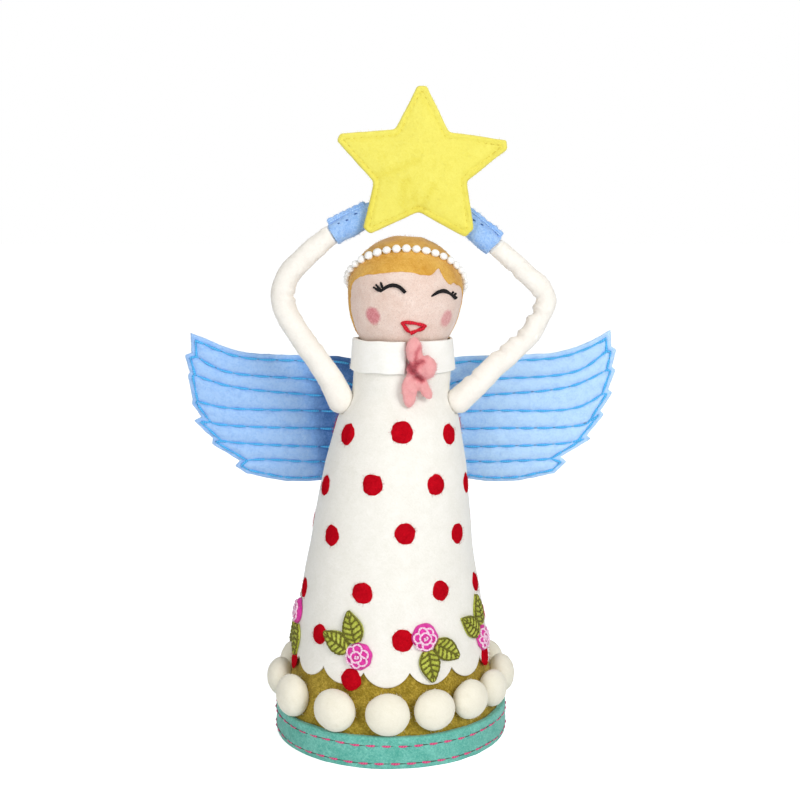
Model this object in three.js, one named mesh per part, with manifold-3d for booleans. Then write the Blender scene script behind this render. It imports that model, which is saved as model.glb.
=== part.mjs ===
// A felt angel for the top of a tree: a hollow cone of a body, a round head with a string of beads, two wired
// arms that hold a stuffed star overhead, and two quilted wings sewn to the back.
// Millimetres, +Z up. The origin is the middle of the open foot, on the surface that it stands on. The angel
// faces -Y, and an angle round the body counts from there towards +X.
import * as THREE from "three";
import { mergeVertices } from "three/addons/utils/BufferGeometryUtils.js";
import Module from "manifold-3d";

const wasm = await Module();
wasm.setup();

// Clearances
const GAP = 0.3; // between pieces that touch on the real angel
const TURNING_GAP = 0.5; // round what turns in its seat
const OVERRUN = 30; // how far a cutting block runs past what it cuts
const FULL_TURN = 2 * Math.PI;

// Felt and card
const BODY_FELT = 1.5; // the body's felt where it laps over the hem
const CARD = 1.3;
const BODY_COLUMNS = 56;
const CARD_COLUMNS = 28;

// The body: its outer line from the neck's rim down to the hem, as shares of its height and its hem radius
const BODY_HEIGHT = 186;
const FOOT_RADIUS = 55.5;
const HEM_STEP = 6.6; // in from the foot
const HEM_RADIUS = FOOT_RADIUS - HEM_STEP;
const BODY_LINE_SHARES = [
  [1, 0.446],
  [0.927, 0.468],
  [0.884, 0.466],
  [0.863, 0.491],
  [0.847, 0.528],
  [0.821, 0.581],
  [0.769, 0.626],
  [0.699, 0.683],
  [0.624, 0.728],
  [0.495, 0.791],
  [0.376, 0.871],
  [0.247, 0.951],
  [0.161, 1],
];
// The body leans to +X from the waist up, as a body felted by hand does
const LEAN = 6;
const LEAN_START = 80;
const LEAN_SPAN = 100;
const LEAN_TOP = 176;
const LEAN_POWER = 1.4;

// The card lining is a plain cone, and the felt over it thickens above the card's top edge
const CARD_FOOT_LIFT = 1;
const CARD_FOOT_SLACK = 0.7; // inside the olive band
const CARD_TOP_SHARE = 0.742; // of the body's height
const CARD_TOP = CARD_TOP_SHARE * BODY_HEIGHT;
const CARD_TOP_FELT = 3.9;
const SHOULDER_LINING_RISE = 12; // above the card
const SHOULDER_WALL = 6;
const NECK_LINING_RISE = 15; // above the shoulders' lining
const NECK_LINING_WALL = 3.5;
const NECK_WALL = 2.9;

// The hem: a scalloped felt edge over an olive band, a ring of felted balls, and a teal band round the foot
const SCALLOPS = 14;
const SCALLOP_TURN = THREE.MathUtils.degToRad(-2);
const SCALLOP_LOW = 35.2;
const SCALLOP_DEPTH = 8.2;
const SCALLOP_ROUND_SHARE = 0.97;
const FOOT_BAND_HEIGHT = 14.7;
const FOOT_BAND_FELT = 3;
const FOOT_BAND_ROUND = 0.6;
const FOOT_COLUMNS = 42;
const OLIVE_FELT = 2.2;
const OLIVE_LIFT = 0.6;
const OLIVE_TOP = 46;
const OLIVE_WAIST_HEIGHT = 24;
const OLIVE_WAIST_STEP = 6.2; // in from the foot
const OLIVE_WAIST_RADIUS = FOOT_RADIUS - OLIVE_WAIST_STEP;
const OLIVE_COLUMNS = 28;
const BALL_SINK = 2.4; // into the olive band, which it is cut by
const BALL_CUT = 2 * OLIVE_FELT; // deep enough to leave nothing behind the band
const BALL_DEPTH_SHARE = 0.7;
const BALL_UP_SHARE = 0.97;
const BALL_SIDES = 10;
const BALL_RINGS = 8;
const HEM_BALLS = [
  { turn: -1.2, radius: 10, height: 25 },
  { turn: 21.8, radius: 9.6, height: 25.8 },
  { turn: 43.3, radius: 9.3, height: 26.6 },
  { turn: 64.2, radius: 8.9, height: 26.4 },
  { turn: 89, radius: 9.4, height: 26 },
  { turn: 114.5, radius: 9.7, height: 25.4 },
  { turn: 140, radius: 9.5, height: 25 },
  { turn: 166, radius: 9.9, height: 25.3 },
  { turn: 192, radius: 9.4, height: 25 },
  { turn: 217, radius: 9.7, height: 24.9 },
  { turn: 244, radius: 9.8, height: 24.9 },
  { turn: 272, radius: 9.3, height: 24.8 },
  { turn: 302, radius: 9.9, height: 24.8 },
  { turn: 332.2, radius: 10, height: 24.8 },
];

// The rosebuds and leaves: turn in degrees, height over the olive band as a share of a leaf's length, and the
// way that each leaf points
const ROSE_RADIUS = 6.1;
const ROSE_PROUD = 2.9;
const ROSE_RIM_PROUD = 1.5;
const ROSE_SIDES = 12;
const ROSE_WAVE_SHARE = 0.06;
const ROSE_EDGE_SHARE = 0.94;
const ROSE_HEART_SHARE = 0.55;
const LEAF_LENGTH = 16.5;
const LEAF_WIDTH = 8.6;
const LEAF_PROUD = 1.6;
const LEAF_ROW_SHARES = [0.12, 0.22, 0.38, 0.55, 0.72, 0.87, 0.98]; // the first is cut off by the rose
const LEAF_SECTION_SHARES = [
  [-1, 0.4],
  [-0.55, 1],
  [0.55, 1],
  [1, 0.4],
  [0.6, 0],
  [-0.6, 0],
];
const LEAF_TIP_POWER = 0.85; // brings the widest place nearer the tip
const LEAF_THIN_SHARE = 0.3;
const SPRIGS = [
  { turn: -78, riseShare: 0.83, leaves: [-71, -119] },
  { turn: -17.6, riseShare: 0.17, leaves: [107, 156] },
  { turn: 20.4, riseShare: 0.68, leaves: [-34, -83] },
  { turn: 68.3, riseShare: 0.2, leaves: [142, 94] },
  { turn: 123, riseShare: 0.66, leaves: [-40, -95] },
  { turn: 177.7, riseShare: 0.23, leaves: [112, 162] },
  { turn: 232.5, riseShare: 0.6, leaves: [20, 75] },
];

// The head: an egg with its narrow end down in the neck, turned and tipped to +X
const HEAD_SHIFT = 7;
const HEAD_RISE = 25; // its middle, above the body's rim
const HEAD_RADIUS = 26.5;
const HEAD_UP = 25.3;
const HEAD_DOWN = 35.1;
const HEAD_TURN = THREE.MathUtils.degToRad(10);
const HEAD_TILT = THREE.MathUtils.degToRad(4.5);
const HEAD_COLUMNS = 26;
const HEAD_ROWS = 12;
const POLE_SHARE = 0.05; // of the last ring of the egg, for the small ring that closes each end
const HAIR_PROUD = 0.4;
const HAIR_BED = 1.5; // how deep the hair is let into the head
const HAIR_END = 19; // below the middle of the head
const FACE_HALF_WIDTH = 25.4;
const HAIRLINE_HEIGHT = 9.5;
const HAIRLINE_SHARES = [
  [-1, 0.2],
  [-0.86, 0.5],
  [-0.56, 0.78],
  [-0.24, 0.97],
  [0.12, 1],
  [0.35, 1.25],
  [0.47, 1],
  [0.66, 0.62],
  [0.86, 0.6],
  [1, 0.2],
];
const NECK_WAD_ROOM = 0.8; // above the wire, and below the head

// The string of beads round the head, in a plane tipped back from the brow to the nape
const BEAD_RADIUS = 1.87;
const THREAD_RADIUS = 0.7;
const BEADS = 36;
const BEAD_SIDES = 5;
const BEAD_PLANE_TIP = THREE.MathUtils.degToRad(40.6);
const BEAD_PLANE_LIFT = 5;
const BEAD_STEP_SHARES = [0, 0.2, 0.5, 0.8];
const HALVINGS = 24; // when a place on the head is closed in on

// The collar, open in front behind the bow
const COLLAR_RISE = 3; // above the body's rim
const COLLAR_WIDTH = 14.8;
const COLLAR_HIGH = BODY_HEIGHT + COLLAR_RISE;
const COLLAR_LOW = COLLAR_HIGH - COLLAR_WIDTH;
const COLLAR_FELT = 1.6;
const COLLAR_FLARE = 0.3;
const COLLAR_GAP_HALF_TURN = THREE.MathUtils.degToRad(7);
const COLLAR_COLUMNS = 36;

// The bow, felted in one piece: places across and up from its knot, and half sizes
const BOW_RISE = 2.6; // its knot, above the collar's lower edge
const BOW_SINK = 0.95; // how far its round back reaches into the collar's opening
const BOW_SIDES = 10;
const BOW_RINGS = 7;
const BOW = {
  knot: { across: 0.4, up: 0, halfWidth: 3.3, halfHeight: 3.5, halfDepth: 3 },
  upperLoop: { across: 0.6, up: 8.4, halfWidth: 3.9, halfHeight: 6.3, halfDepth: 2.6 },
  sideLoop: { across: 6.2, up: 1, halfWidth: 4.6, halfHeight: 5.4, halfDepth: 3 },
  leftTail: { across: -1.4, up: -9.2, halfWidth: 3.7, halfHeight: 8.4, halfDepth: 1.8, turn: 3 },
  rightTail: { across: 4.9, up: -7.8, halfWidth: 2.7, halfHeight: 7, halfDepth: 1.7, turn: -30 },
};

// The arms: felted round one wire, which runs from hand to hand across the shoulders
const SHOULDER_DROP = 26; // below the body's rim
const SHOULDER_HEIGHT = BODY_HEIGHT - SHOULDER_DROP;
const SHOULDER_OUT = 3.3; // from the body's felt to the arm's joint
const SHOULDER_FORWARD = 5;
const ARM_BALL_RADIUS = 6.2;
const ARM_BALL_SIDES = 12;
const ARM_BALL_RINGS = 8;
const ARM_SPREAD = 40;
const ARM_RISE = 77.4;
const ARM_FORWARD = 3;
const ARM_SIDES = 10;
const ARM_STEPS = 18;
const WIRE_RADIUS = 0.9;
const WIRE_SIDES = 6;
const WIRE_STEPS = 48;
const BORE_SIDES = 8;
const LEFT_ARM_SHARES = [
  [0, 0],
  [0.083, 0.088],
  [0.22, 0.209],
  [0.393, 0.337],
  [0.52, 0.428],
  [0.645, 0.559],
  [0.665, 0.619],
  [0.653, 0.68],
  [0.605, 0.744],
  [0.523, 0.804],
  [0.278, 0.922],
  [0.093, 1],
];
const RIGHT_ARM_SHARES = [
  [0, 0],
  [0.188, 0.088],
  [0.418, 0.207],
  [0.65, 0.313],
  [0.833, 0.41],
  [0.923, 0.5],
  [1, 0.596],
  [0.943, 0.68],
  [0.79, 0.753],
  [0.625, 0.833],
  [0.405, 0.929],
];
const LEFT_ARM_THICKNESS_SHARES = [1, 0.9, 0.88, 0.87, 0.76];
const RIGHT_ARM_THICKNESS_SHARES = [1, 0.85, 0.78, 0.76, 0.7];
const LEFT_HAND_TURN = THREE.MathUtils.degToRad(30);
const RIGHT_HAND_TURN = THREE.MathUtils.degToRad(43);

// The mittens: a folded piece of felt with a pinked seam along the upper side
const MITTEN_LENGTH = 26;
const MITTEN_HALF_WIDTH = 5.4;
const MITTEN_HALF_DEPTH = 4.2;
const MITTEN_SHIFT = -0.7;
const MITTEN_ROWS_SHARES = [
  [0, 0.9, 1],
  [0.25, 1, 1],
  [0.6, 1, 0.9],
  [0.85, 0.82, 0.72],
  [0.97, 0.5, 0.42],
  [1, 0.2, 0.16],
];
const MITTEN_SIDES = 12;
const MITTEN_WIRE_SHARE = 0.5;
const SEAM_START = 0.8;
const SEAM_END = 20;
const SEAM_ROOT = 2;
const SEAM_REACH = 7.4;
const SEAM_FELT = 2.6;
const SEAM_SCALLOPS = 6;
const SEAM_SCALLOP_DEPTH = 0.8;
const SEAM_SLOPE_SHARE = 0.25;

// The star: two felt shapes sewn round the rim over a thin filling
const STAR_SHIFT = 14.1;
const STAR_RISE = 30; // its middle, above the wrists
const STAR_TILT = THREE.MathUtils.degToRad(2.3);
const STAR_REACH = 39;
const STAR_NOTCH = 21.2;
const STAR_TIP_SHARES = [0.965, 1.035, 0.97, 0.97, 1.035];
const STAR_FELT = 2;
const STAR_SWELL = 2.2;
const STAR_RIM_SHARE = 0.86;
const STAR_FILL_SHARE = 0.78;
const STAR_RING_SHARES = [1, 0.86, 0.6, 0.3];
const STAR_TIP_ROUND = 3;
const STAR_TIP_SIDE_SHARE = 0.62;
const STAR_POINTS = 5;

// The wings: seven quilted feathers each. Places are shares of the reach outwards and of the height upwards
const WING_MIDDLE = 4.6;
const WING_REACH = 105;
const WING_HEIGHT = 80;
const WING_DROP = 40.5; // from where they lie against the back down to where their own height starts
const WING_SLANT = Math.atan(0.224); // the line of the back
const WING_BACK_GAP = 0.35;
const WING_TANGENT_SHARE = 0.821; // the height on the body where the wings lie against it
const WING_ROOT = 5.2; // from the middle to each wing's inner edge
const WING_PUFF = 4.4;
const WING_CHANNEL = 2.2;
const WING_EDGE = 1.8;
const WING_PUFF_POWER = 0.6; // under 1, so that a feather is full across and narrow at its seams
const WING_COLUMNS = 8;
const FEATHERS = 7;
const FEATHER_ROW_SHARES = [0, 0.16, 0.5, 0.84];
const FEATHER_END_SHARES = [0, 0.05, 0.45, 0.9];
const WING_ROOT_LOW_SHARE = 0.16;
const WING_ROOT_HIGH_SHARE = 0.57;
const WING_TOP_EDGE_SHARES = [
  [0.15, 0.76],
  [0.248, 0.826],
  [0.419, 0.84],
  [0.7, 0.857],
  [0.8, 0.888],
  [0.886, 0.938],
];
const WING_LOW_EDGE_SHARES = [
  [0.15, 0.07],
  [0.337, 0.019],
  [0.424, 0.004],
  [0.552, 0.005],
  [0.654, 0.031],
  [0.742, 0.058],
];
const WING_QUILT_SHARES = [
  { inner: 0.691, knee: [0.825, 0.746] },
  { inner: 0.589, knee: [0.8, 0.646] },
  { inner: 0.485, knee: [0.831, 0.506] },
  { inner: 0.368, knee: [0.884, 0.401] },
  { inner: 0.246, knee: [0.827, 0.278] },
  { inner: 0.143, knee: [0.68, 0.158] },
];
const WING_QUILT_BEND_SHARE = 0.24;
const WING_QUILT_INNER_SHARE = 0.42;
const WING_QUILT_DROP_SHARE = 0.15; // how far a seam has turned to the root where it bends
const LEFT_WING_TIP_SHARES = [
  [0.971, 0.984],
  [1.004, 0.848],
  [0.995, 0.72],
  [0.986, 0.53],
  [0.985, 0.42],
  [0.907, 0.263],
  [0.796, 0.109],
];
const RIGHT_WING_TIP_SHARES = [
  [0.971, 1.005],
  [1.002, 0.883],
  [1.006, 0.754],
  [0.999, 0.605],
  [0.969, 0.463],
  [0.916, 0.299],
  [0.8, 0.14],
];
const LEFT_WING_NOTCH_SHARES = [
  [0.972, 0.858],
  [0.985, 0.73],
  [0.98, 0.556],
  [0.942, 0.438],
  [0.895, 0.298],
  [0.77, 0.143],
];
const RIGHT_WING_NOTCH_SHARES = [
  [0.979, 0.896],
  [0.988, 0.769],
  [0.977, 0.62],
  [0.947, 0.478],
  [0.888, 0.314],
  [0.769, 0.169],
];

const SIDES = {
  left: {
    sign: -1,
    armShares: LEFT_ARM_SHARES,
    thicknessShares: LEFT_ARM_THICKNESS_SHARES,
    handTurn: LEFT_HAND_TURN,
    wingTipShares: LEFT_WING_TIP_SHARES,
    wingNotchShares: LEFT_WING_NOTCH_SHARES,
  },
  right: {
    sign: 1,
    armShares: RIGHT_ARM_SHARES,
    thicknessShares: RIGHT_ARM_THICKNESS_SHARES,
    handTurn: RIGHT_HAND_TURN,
    wingTipShares: RIGHT_WING_TIP_SHARES,
    wingNotchShares: RIGHT_WING_NOTCH_SHARES,
  },
};

const COLOURS = {
  ivory: 0xf4f2e8,
  card: 0xb8946a,
  olive: 0x94802a,
  teal: 0x62b5a5,
  ball: 0xf5f3e8,
  skin: 0xebd5c8,
  hair: 0xd8a347,
  bead: 0xf4f4f0,
  bow: 0xf5afaf,
  leaf: 0x9aa83c,
  rose: 0xe23fa8,
  wing: 0x9cc3f5,
  star: 0xf7ee6a,
  wire: 0xb9bcc0,
};

const angel = new THREE.Group();

// Helpers

function addMesh(parent, name, geometry, colour, roughness = 0.95, metalness = 0) {
  geometry.computeVertexNormals();
  const mesh = new THREE.Mesh(
    geometry,
    new THREE.MeshStandardMaterial({ color: COLOURS[colour], roughness, metalness }),
  );
  mesh.name = name;
  parent.add(mesh);
  return mesh;
}

// A copy whose faces point outwards, with its shared corners merged.
function closed(geometry) {
  const bare = geometry.clone();
  bare.deleteAttribute("normal");
  bare.deleteAttribute("uv");
  const merged = mergeVertices(bare);
  const at = merged.getAttribute("position");
  const order = merged.index.array;
  const corner = [new THREE.Vector3(), new THREE.Vector3(), new THREE.Vector3()];
  let volume = 0;
  for (let i = 0; i < order.length; i += 3) {
    corner.forEach((c, k) => c.fromBufferAttribute(at, order[i + k]));
    volume += corner[0].dot(corner[1].clone().cross(corner[2]));
  }
  if (volume < 0) {
    for (let i = 0; i < order.length; i += 3) {
      [order[i + 1], order[i + 2]] = [order[i + 2], order[i + 1]];
    }
  }
  return merged;
}

function toSolid(geometry) {
  const merged = closed(geometry);
  return new wasm.Manifold(
    new wasm.Mesh({
      numProp: 3,
      vertProperties: new Float32Array(merged.getAttribute("position").array),
      triVerts: new Uint32Array(merged.index.array),
    }),
  );
}

function fromSolid(solid) {
  const mesh = solid.getMesh();
  const geometry = new THREE.BufferGeometry();
  geometry.setAttribute("position", new THREE.BufferAttribute(new Float32Array(mesh.vertProperties), 3));
  geometry.setIndex(new THREE.BufferAttribute(new Uint32Array(mesh.triVerts), 1));
  return geometry;
}

const subtract = (geometry, ...tools) =>
  fromSolid(tools.reduce((solid, tool) => solid.subtract(toSolid(tool)), toSolid(geometry)));
const join = (geometry, ...others) =>
  fromSolid(others.reduce((solid, other) => solid.add(toSolid(other)), toSolid(geometry)));
const intersect = (geometry, other) => fromSolid(toSolid(geometry).intersect(toSolid(other)));

// A closed surface through rings of points: the last ring joins the first, or both ends are capped.
function skin(rings, looped = false) {
  const count = rings[0].length;
  const points = rings.flat();
  const faces = [];
  const last = looped ? rings.length : rings.length - 1;
  for (let i = 0; i < last; i++) {
    const a = i * count;
    const b = ((i + 1) % rings.length) * count;
    for (let j = 0; j < count; j++) {
      const k = (j + 1) % count;
      faces.push(a + j, b + j, b + k, a + j, b + k, a + k);
    }
  }
  if (!looped) {
    for (const [start, flip] of [
      [0, false],
      [(rings.length - 1) * count, true],
    ]) {
      const middle = new THREE.Vector3();
      for (let j = 0; j < count; j++) middle.addScaledVector(points[start + j], 1 / count);
      points.push(middle);
      for (let j = 0; j < count; j++) {
        const pair = [start + j, start + ((j + 1) % count)];
        if (flip) pair.reverse();
        faces.push(points.length - 1, ...pair);
      }
    }
  }
  const geometry = new THREE.BufferGeometry().setFromPoints(points);
  geometry.setIndex(faces);
  return closed(geometry);
}

function between(table, at) {
  const rising = table[0][0] < table[table.length - 1][0];
  const rows = rising ? table : [...table].reverse();
  if (at <= rows[0][0]) return rows[0][1];
  for (let i = 1; i < rows.length; i++) {
    if (at <= rows[i][0]) {
      const share = (at - rows[i - 1][0]) / (rows[i][0] - rows[i - 1][0]);
      return THREE.MathUtils.lerp(rows[i - 1][1], rows[i][1], share);
    }
  }
  return rows[rows.length - 1][1];
}

const bodyRadius = (height) => HEM_RADIUS * between(BODY_LINE_SHARES, height / BODY_HEIGHT);

function lean(height) {
  const share = Math.max(0, Math.min(height, LEAN_TOP) - LEAN_START) / LEAN_SPAN;
  return LEAN * share ** LEAN_POWER;
}

// The point at an angle, a radius and a height round the leaning body.
const around = (turn, radius, height) =>
  new THREE.Vector3(lean(height) + radius * Math.sin(turn), -radius * Math.cos(turn), height);

// A ring round the body whose section, a list of [radius, height], may change with the angle.
function band(section, columns, from = 0, sweep = FULL_TURN) {
  const whole = sweep === FULL_TURN;
  const rings = [];
  for (let i = 0; i < columns + (whole ? 0 : 1); i++) {
    const turn = from + (sweep * i) / columns;
    rings.push(section(turn).map(([radius, height]) => around(turn, radius, height)));
  }
  return skin(rings, whole);
}

// A point over the body's felt: across and up along the surface from a place, and out from it.
function overBody(turn, height, across, up, out) {
  const z = height + up;
  const radius = bodyRadius(z);
  return around(turn + across / radius, radius + out, z);
}

// A round rod along a curve, whose radius may change with the share of its length.
function rod(curve, steps, sides, radiusAt) {
  const frames = curve.computeFrenetFrames(steps, false);
  const rings = [];
  for (let i = 0; i <= steps; i++) {
    const share = i / steps;
    const centre = curve.getPointAt(share);
    const ring = [];
    for (let j = 0; j < sides; j++) {
      const angle = (FULL_TURN * j) / sides;
      const radius = radiusAt(share);
      ring.push(
        centre
          .clone()
          .addScaledVector(frames.normals[i], radius * Math.cos(angle))
          .addScaledVector(frames.binormals[i], radius * Math.sin(angle)),
      );
    }
    rings.push(ring);
  }
  return skin(rings);
}

// The egg of the head, grown or shrunk on every side.
function egg(growth) {
  const rings = [];
  for (let i = 1; i < HEAD_ROWS; i++) {
    const angle = (Math.PI * i) / HEAD_ROWS;
    const rise = Math.cos(angle);
    const radius = (HEAD_RADIUS + growth) * Math.sin(angle);
    const height = rise * ((rise > 0 ? HEAD_UP : HEAD_DOWN) + growth);
    const ring = [];
    for (let j = 0; j < HEAD_COLUMNS; j++) {
      const turn = (FULL_TURN * j) / HEAD_COLUMNS;
      ring.push(new THREE.Vector3(radius * Math.sin(turn), -radius * Math.cos(turn), height));
    }
    rings.push(ring);
  }
  const pole = (ring, height) =>
    ring.map((p) => new THREE.Vector3(POLE_SHARE * p.x, POLE_SHARE * p.y, height));
  rings.unshift(pole(rings[0], HEAD_UP + growth));
  rings.push(pole(rings[rings.length - 1], -HEAD_DOWN - growth));
  return skin(rings);
}

const headGroup = new THREE.Group();
headGroup.position.set(HEAD_SHIFT, 0, BODY_HEIGHT + HEAD_RISE);
headGroup.rotation.set(0, HEAD_TILT, HEAD_TURN, "YZX");
headGroup.updateMatrixWorld(true);
angel.add(headGroup);

// Foot, hem and body

function scallopHeight(turn) {
  const pitch = FULL_TURN / SCALLOPS;
  const share = THREE.MathUtils.euclideanModulo(turn - SCALLOP_TURN + pitch / 2, pitch) / pitch;
  const across = SCALLOP_ROUND_SHARE * (2 * share - 1);
  return SCALLOP_LOW + SCALLOP_DEPTH * (1 - Math.sqrt(1 - across ** 2));
}

const oliveFootRadius = FOOT_RADIUS - FOOT_BAND_FELT - GAP;
const shoulderLiningHeight = CARD_TOP + SHOULDER_LINING_RISE;
const neckLiningHeight = shoulderLiningHeight + NECK_LINING_RISE;
const liningRadius = (height) =>
  between(
    [
      [CARD_FOOT_LIFT, oliveFootRadius - OLIVE_FELT - CARD_FOOT_SLACK],
      [CARD_TOP + GAP, bodyRadius(CARD_TOP) - CARD_TOP_FELT],
      [shoulderLiningHeight, bodyRadius(shoulderLiningHeight) - SHOULDER_WALL],
      [neckLiningHeight, bodyRadius(neckLiningHeight) - NECK_LINING_WALL],
      [BODY_HEIGHT, bodyRadius(BODY_HEIGHT) - NECK_WALL],
    ],
    height,
  );

const cardRadius = (height) => liningRadius(height) - GAP;

const shoulderHalfSpan = bodyRadius(SHOULDER_HEIGHT) + SHOULDER_OUT;
const armCurves = {};
for (const [side, { sign, armShares }] of Object.entries(SIDES)) {
  const points = armShares.map(
    ([out, up]) =>
      new THREE.Vector3(
        lean(SHOULDER_HEIGHT) + sign * (shoulderHalfSpan + out * ARM_SPREAD),
        -SHOULDER_FORWARD - up * ARM_FORWARD,
        SHOULDER_HEIGHT + up * ARM_RISE,
      ),
  );
  armCurves[side] = new THREE.CatmullRomCurve3(points);
}
const shoulderBall = (side, growth) => {
  const centre = armCurves[side].points[0];
  return new THREE.SphereGeometry(ARM_BALL_RADIUS + growth, ARM_BALL_SIDES, ARM_BALL_RINGS).translate(
    centre.x,
    centre.y,
    centre.z,
  );
};

// The hand's own frame: x along the hand from the wrist, y towards the pinked seam, z out of the back.
function handFrame(side) {
  const { sign, handTurn: turn } = SIDES[side];
  const along = new THREE.Vector3(-sign * Math.cos(turn), 0, Math.sin(turn));
  const across = new THREE.Vector3(sign * Math.sin(turn), 0, Math.cos(turn));
  const wrist = armCurves[side].getPointAt(1);
  const frame = new THREE.Matrix4().makeBasis(along, across, along.clone().cross(across));
  return frame.setPosition(wrist.addScaledVector(along, GAP));
}

// The one wire: from the left hand down the arm, straight across the shoulders and up into the right hand.
const handEnd = (side) =>
  new THREE.Vector3(MITTEN_LENGTH * MITTEN_WIRE_SHARE, 0, 0).applyMatrix4(handFrame(side));
const wireCurve = new THREE.CatmullRomCurve3(
  [
    handEnd("left"),
    ...[...armCurves.left.points].reverse(),
    armCurves.left.points[0].clone().setX(lean(SHOULDER_HEIGHT) - shoulderHalfSpan + ARM_BALL_RADIUS),
    armCurves.right.points[0].clone().setX(lean(SHOULDER_HEIGHT) + shoulderHalfSpan - ARM_BALL_RADIUS),
    ...armCurves.right.points,
    handEnd("right"),
  ],
  false,
  "centripetal",
);
const wire = (growth) => rod(wireCurve, WIRE_STEPS, WIRE_SIDES, () => WIRE_RADIUS + growth);

const neckWadLow = SHOULDER_HEIGHT + WIRE_RADIUS + TURNING_GAP + NECK_WAD_ROOM;
const neckWadHigh = BODY_HEIGHT + HEAD_RISE - HEAD_DOWN - NECK_WAD_ROOM;

function bodySection(turn) {
  const low = scallopHeight(turn);
  const lapTop = OLIVE_TOP + GAP;
  const outer = BODY_LINE_SHARES.map(([heightShare]) => heightShare * BODY_HEIGHT)
    .filter((height) => height > lapTop)
    .map((height) => [bodyRadius(height), height]);
  const inner = [
    LEAN_START,
    CARD_TOP + GAP,
    shoulderLiningHeight,
    neckLiningHeight,
    neckWadHigh,
    BODY_HEIGHT,
  ].map((height) => [liningRadius(height), height]);
  return [
    ...outer,
    [bodyRadius(OLIVE_TOP), OLIVE_TOP],
    [bodyRadius(low), low],
    [bodyRadius(low) - BODY_FELT, low],
    [bodyRadius(lapTop) - BODY_FELT, lapTop],
    [liningRadius(lapTop), lapTop + GAP],
    ...inner,
  ];
}

const headInWorld = (growth) => egg(growth).applyMatrix4(headGroup.matrixWorld);
// The wire's way through the shoulders is straight along the axis that the arms swing on.
const shoulderBore = new THREE.CylinderGeometry(
  WIRE_RADIUS + TURNING_GAP,
  WIRE_RADIUS + TURNING_GAP,
  2 * shoulderHalfSpan,
  BORE_SIDES,
)
  .rotateZ(Math.PI / 2)
  .translate(lean(SHOULDER_HEIGHT), -SHOULDER_FORWARD, SHOULDER_HEIGHT);
addMesh(
  angel,
  "felt_body",
  subtract(
    band(bodySection, BODY_COLUMNS, SCALLOP_TURN),
    headInWorld(GAP),
    shoulderBall("left", TURNING_GAP),
    shoulderBall("right", TURNING_GAP),
    shoulderBore,
  ),
  "ivory",
);

addMesh(
  angel,
  "card_lining",
  band(() => {
    const outside = [CARD_TOP, LEAN_START, CARD_FOOT_LIFT].map((height) => [cardRadius(height), height]);
    const inside = outside.map(([radius, height]) => [radius - CARD, height]);
    return [...outside, ...inside.reverse()];
  }, CARD_COLUMNS),
  "card",
);

addMesh(
  angel,
  "neck_wad",
  skin(
    [neckWadLow, neckLiningHeight, neckWadHigh].map((height) => {
      const radius = Math.min(liningRadius(height), liningRadius(neckLiningHeight)) - 2 * GAP;
      return Array.from({ length: CARD_COLUMNS }, (_, i) =>
        around((FULL_TURN * i) / CARD_COLUMNS, radius, height),
      );
    }),
  ),
  "ball",
);

const oliveLine = (growth) => [
  [bodyRadius(OLIVE_TOP) - BODY_FELT - GAP + growth, OLIVE_TOP],
  [bodyRadius(SCALLOP_LOW) - BODY_FELT - GAP + growth, SCALLOP_LOW],
  [OLIVE_WAIST_RADIUS + growth, OLIVE_WAIST_HEIGHT],
  [oliveFootRadius + growth, FOOT_BAND_HEIGHT],
  [oliveFootRadius + growth, OLIVE_LIFT],
];
const oliveBand = (growth, felt = OLIVE_FELT) =>
  band(
    () => [...oliveLine(growth), ...oliveLine(-felt).reverse()],
    OLIVE_COLUMNS,
    SCALLOP_TURN,
  );
addMesh(angel, "olive_band", oliveBand(0), "olive");

addMesh(
  angel,
  "foot_band",
  band(
    () => [
      [FOOT_RADIUS - FOOT_BAND_ROUND, FOOT_BAND_HEIGHT],
      [FOOT_RADIUS, FOOT_BAND_HEIGHT - FOOT_BAND_ROUND],
      [FOOT_RADIUS, FOOT_BAND_ROUND],
      [FOOT_RADIUS - FOOT_BAND_ROUND, 0],
      [FOOT_RADIUS - FOOT_BAND_FELT, 0],
      [FOOT_RADIUS - FOOT_BAND_FELT, FOOT_BAND_HEIGHT],
    ],
    FOOT_COLUMNS,
    SCALLOP_TURN,
  ),
  "teal",
);

HEM_BALLS.forEach(({ turn, radius, height }, i) => {
  const at = THREE.MathUtils.degToRad(turn);
  const depth = BALL_DEPTH_SHARE * radius;
  const centre = around(at, OLIVE_WAIST_RADIUS + depth - BALL_SINK, height);
  const ball = new THREE.SphereGeometry(radius, BALL_SIDES, BALL_RINGS)
    .rotateX(Math.PI / 2)
    .scale(1, BALL_DEPTH_SHARE, BALL_UP_SHARE)
    .rotateZ(at)
    .translate(centre.x, centre.y, centre.z);
  const seated = subtract(ball, oliveBand(GAP, BALL_CUT));
  addMesh(angel, `felt_ball_${String(i + 1).padStart(2, "0")}`, seated, "ball");
});

// Rosebuds and leaves

function rosebud(turn, height) {
  const ringAt = (radius, out) => {
    const ring = [];
    for (let i = 0; i < ROSE_SIDES; i++) {
      const angle = (FULL_TURN * i) / ROSE_SIDES;
      const wavy = radius * (1 + (i % 2 ? -ROSE_WAVE_SHARE : 0));
      ring.push(overBody(turn, height, wavy * Math.cos(angle), wavy * Math.sin(angle), out));
    }
    return ring;
  };
  return skin([
    ringAt(ROSE_EDGE_SHARE * ROSE_RADIUS, GAP),
    ringAt(ROSE_RADIUS, (GAP + ROSE_RIM_PROUD) / 2),
    ringAt(ROSE_EDGE_SHARE * ROSE_RADIUS, ROSE_RIM_PROUD),
    ringAt(ROSE_HEART_SHARE * ROSE_RADIUS, ROSE_PROUD),
  ]);
}

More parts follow.
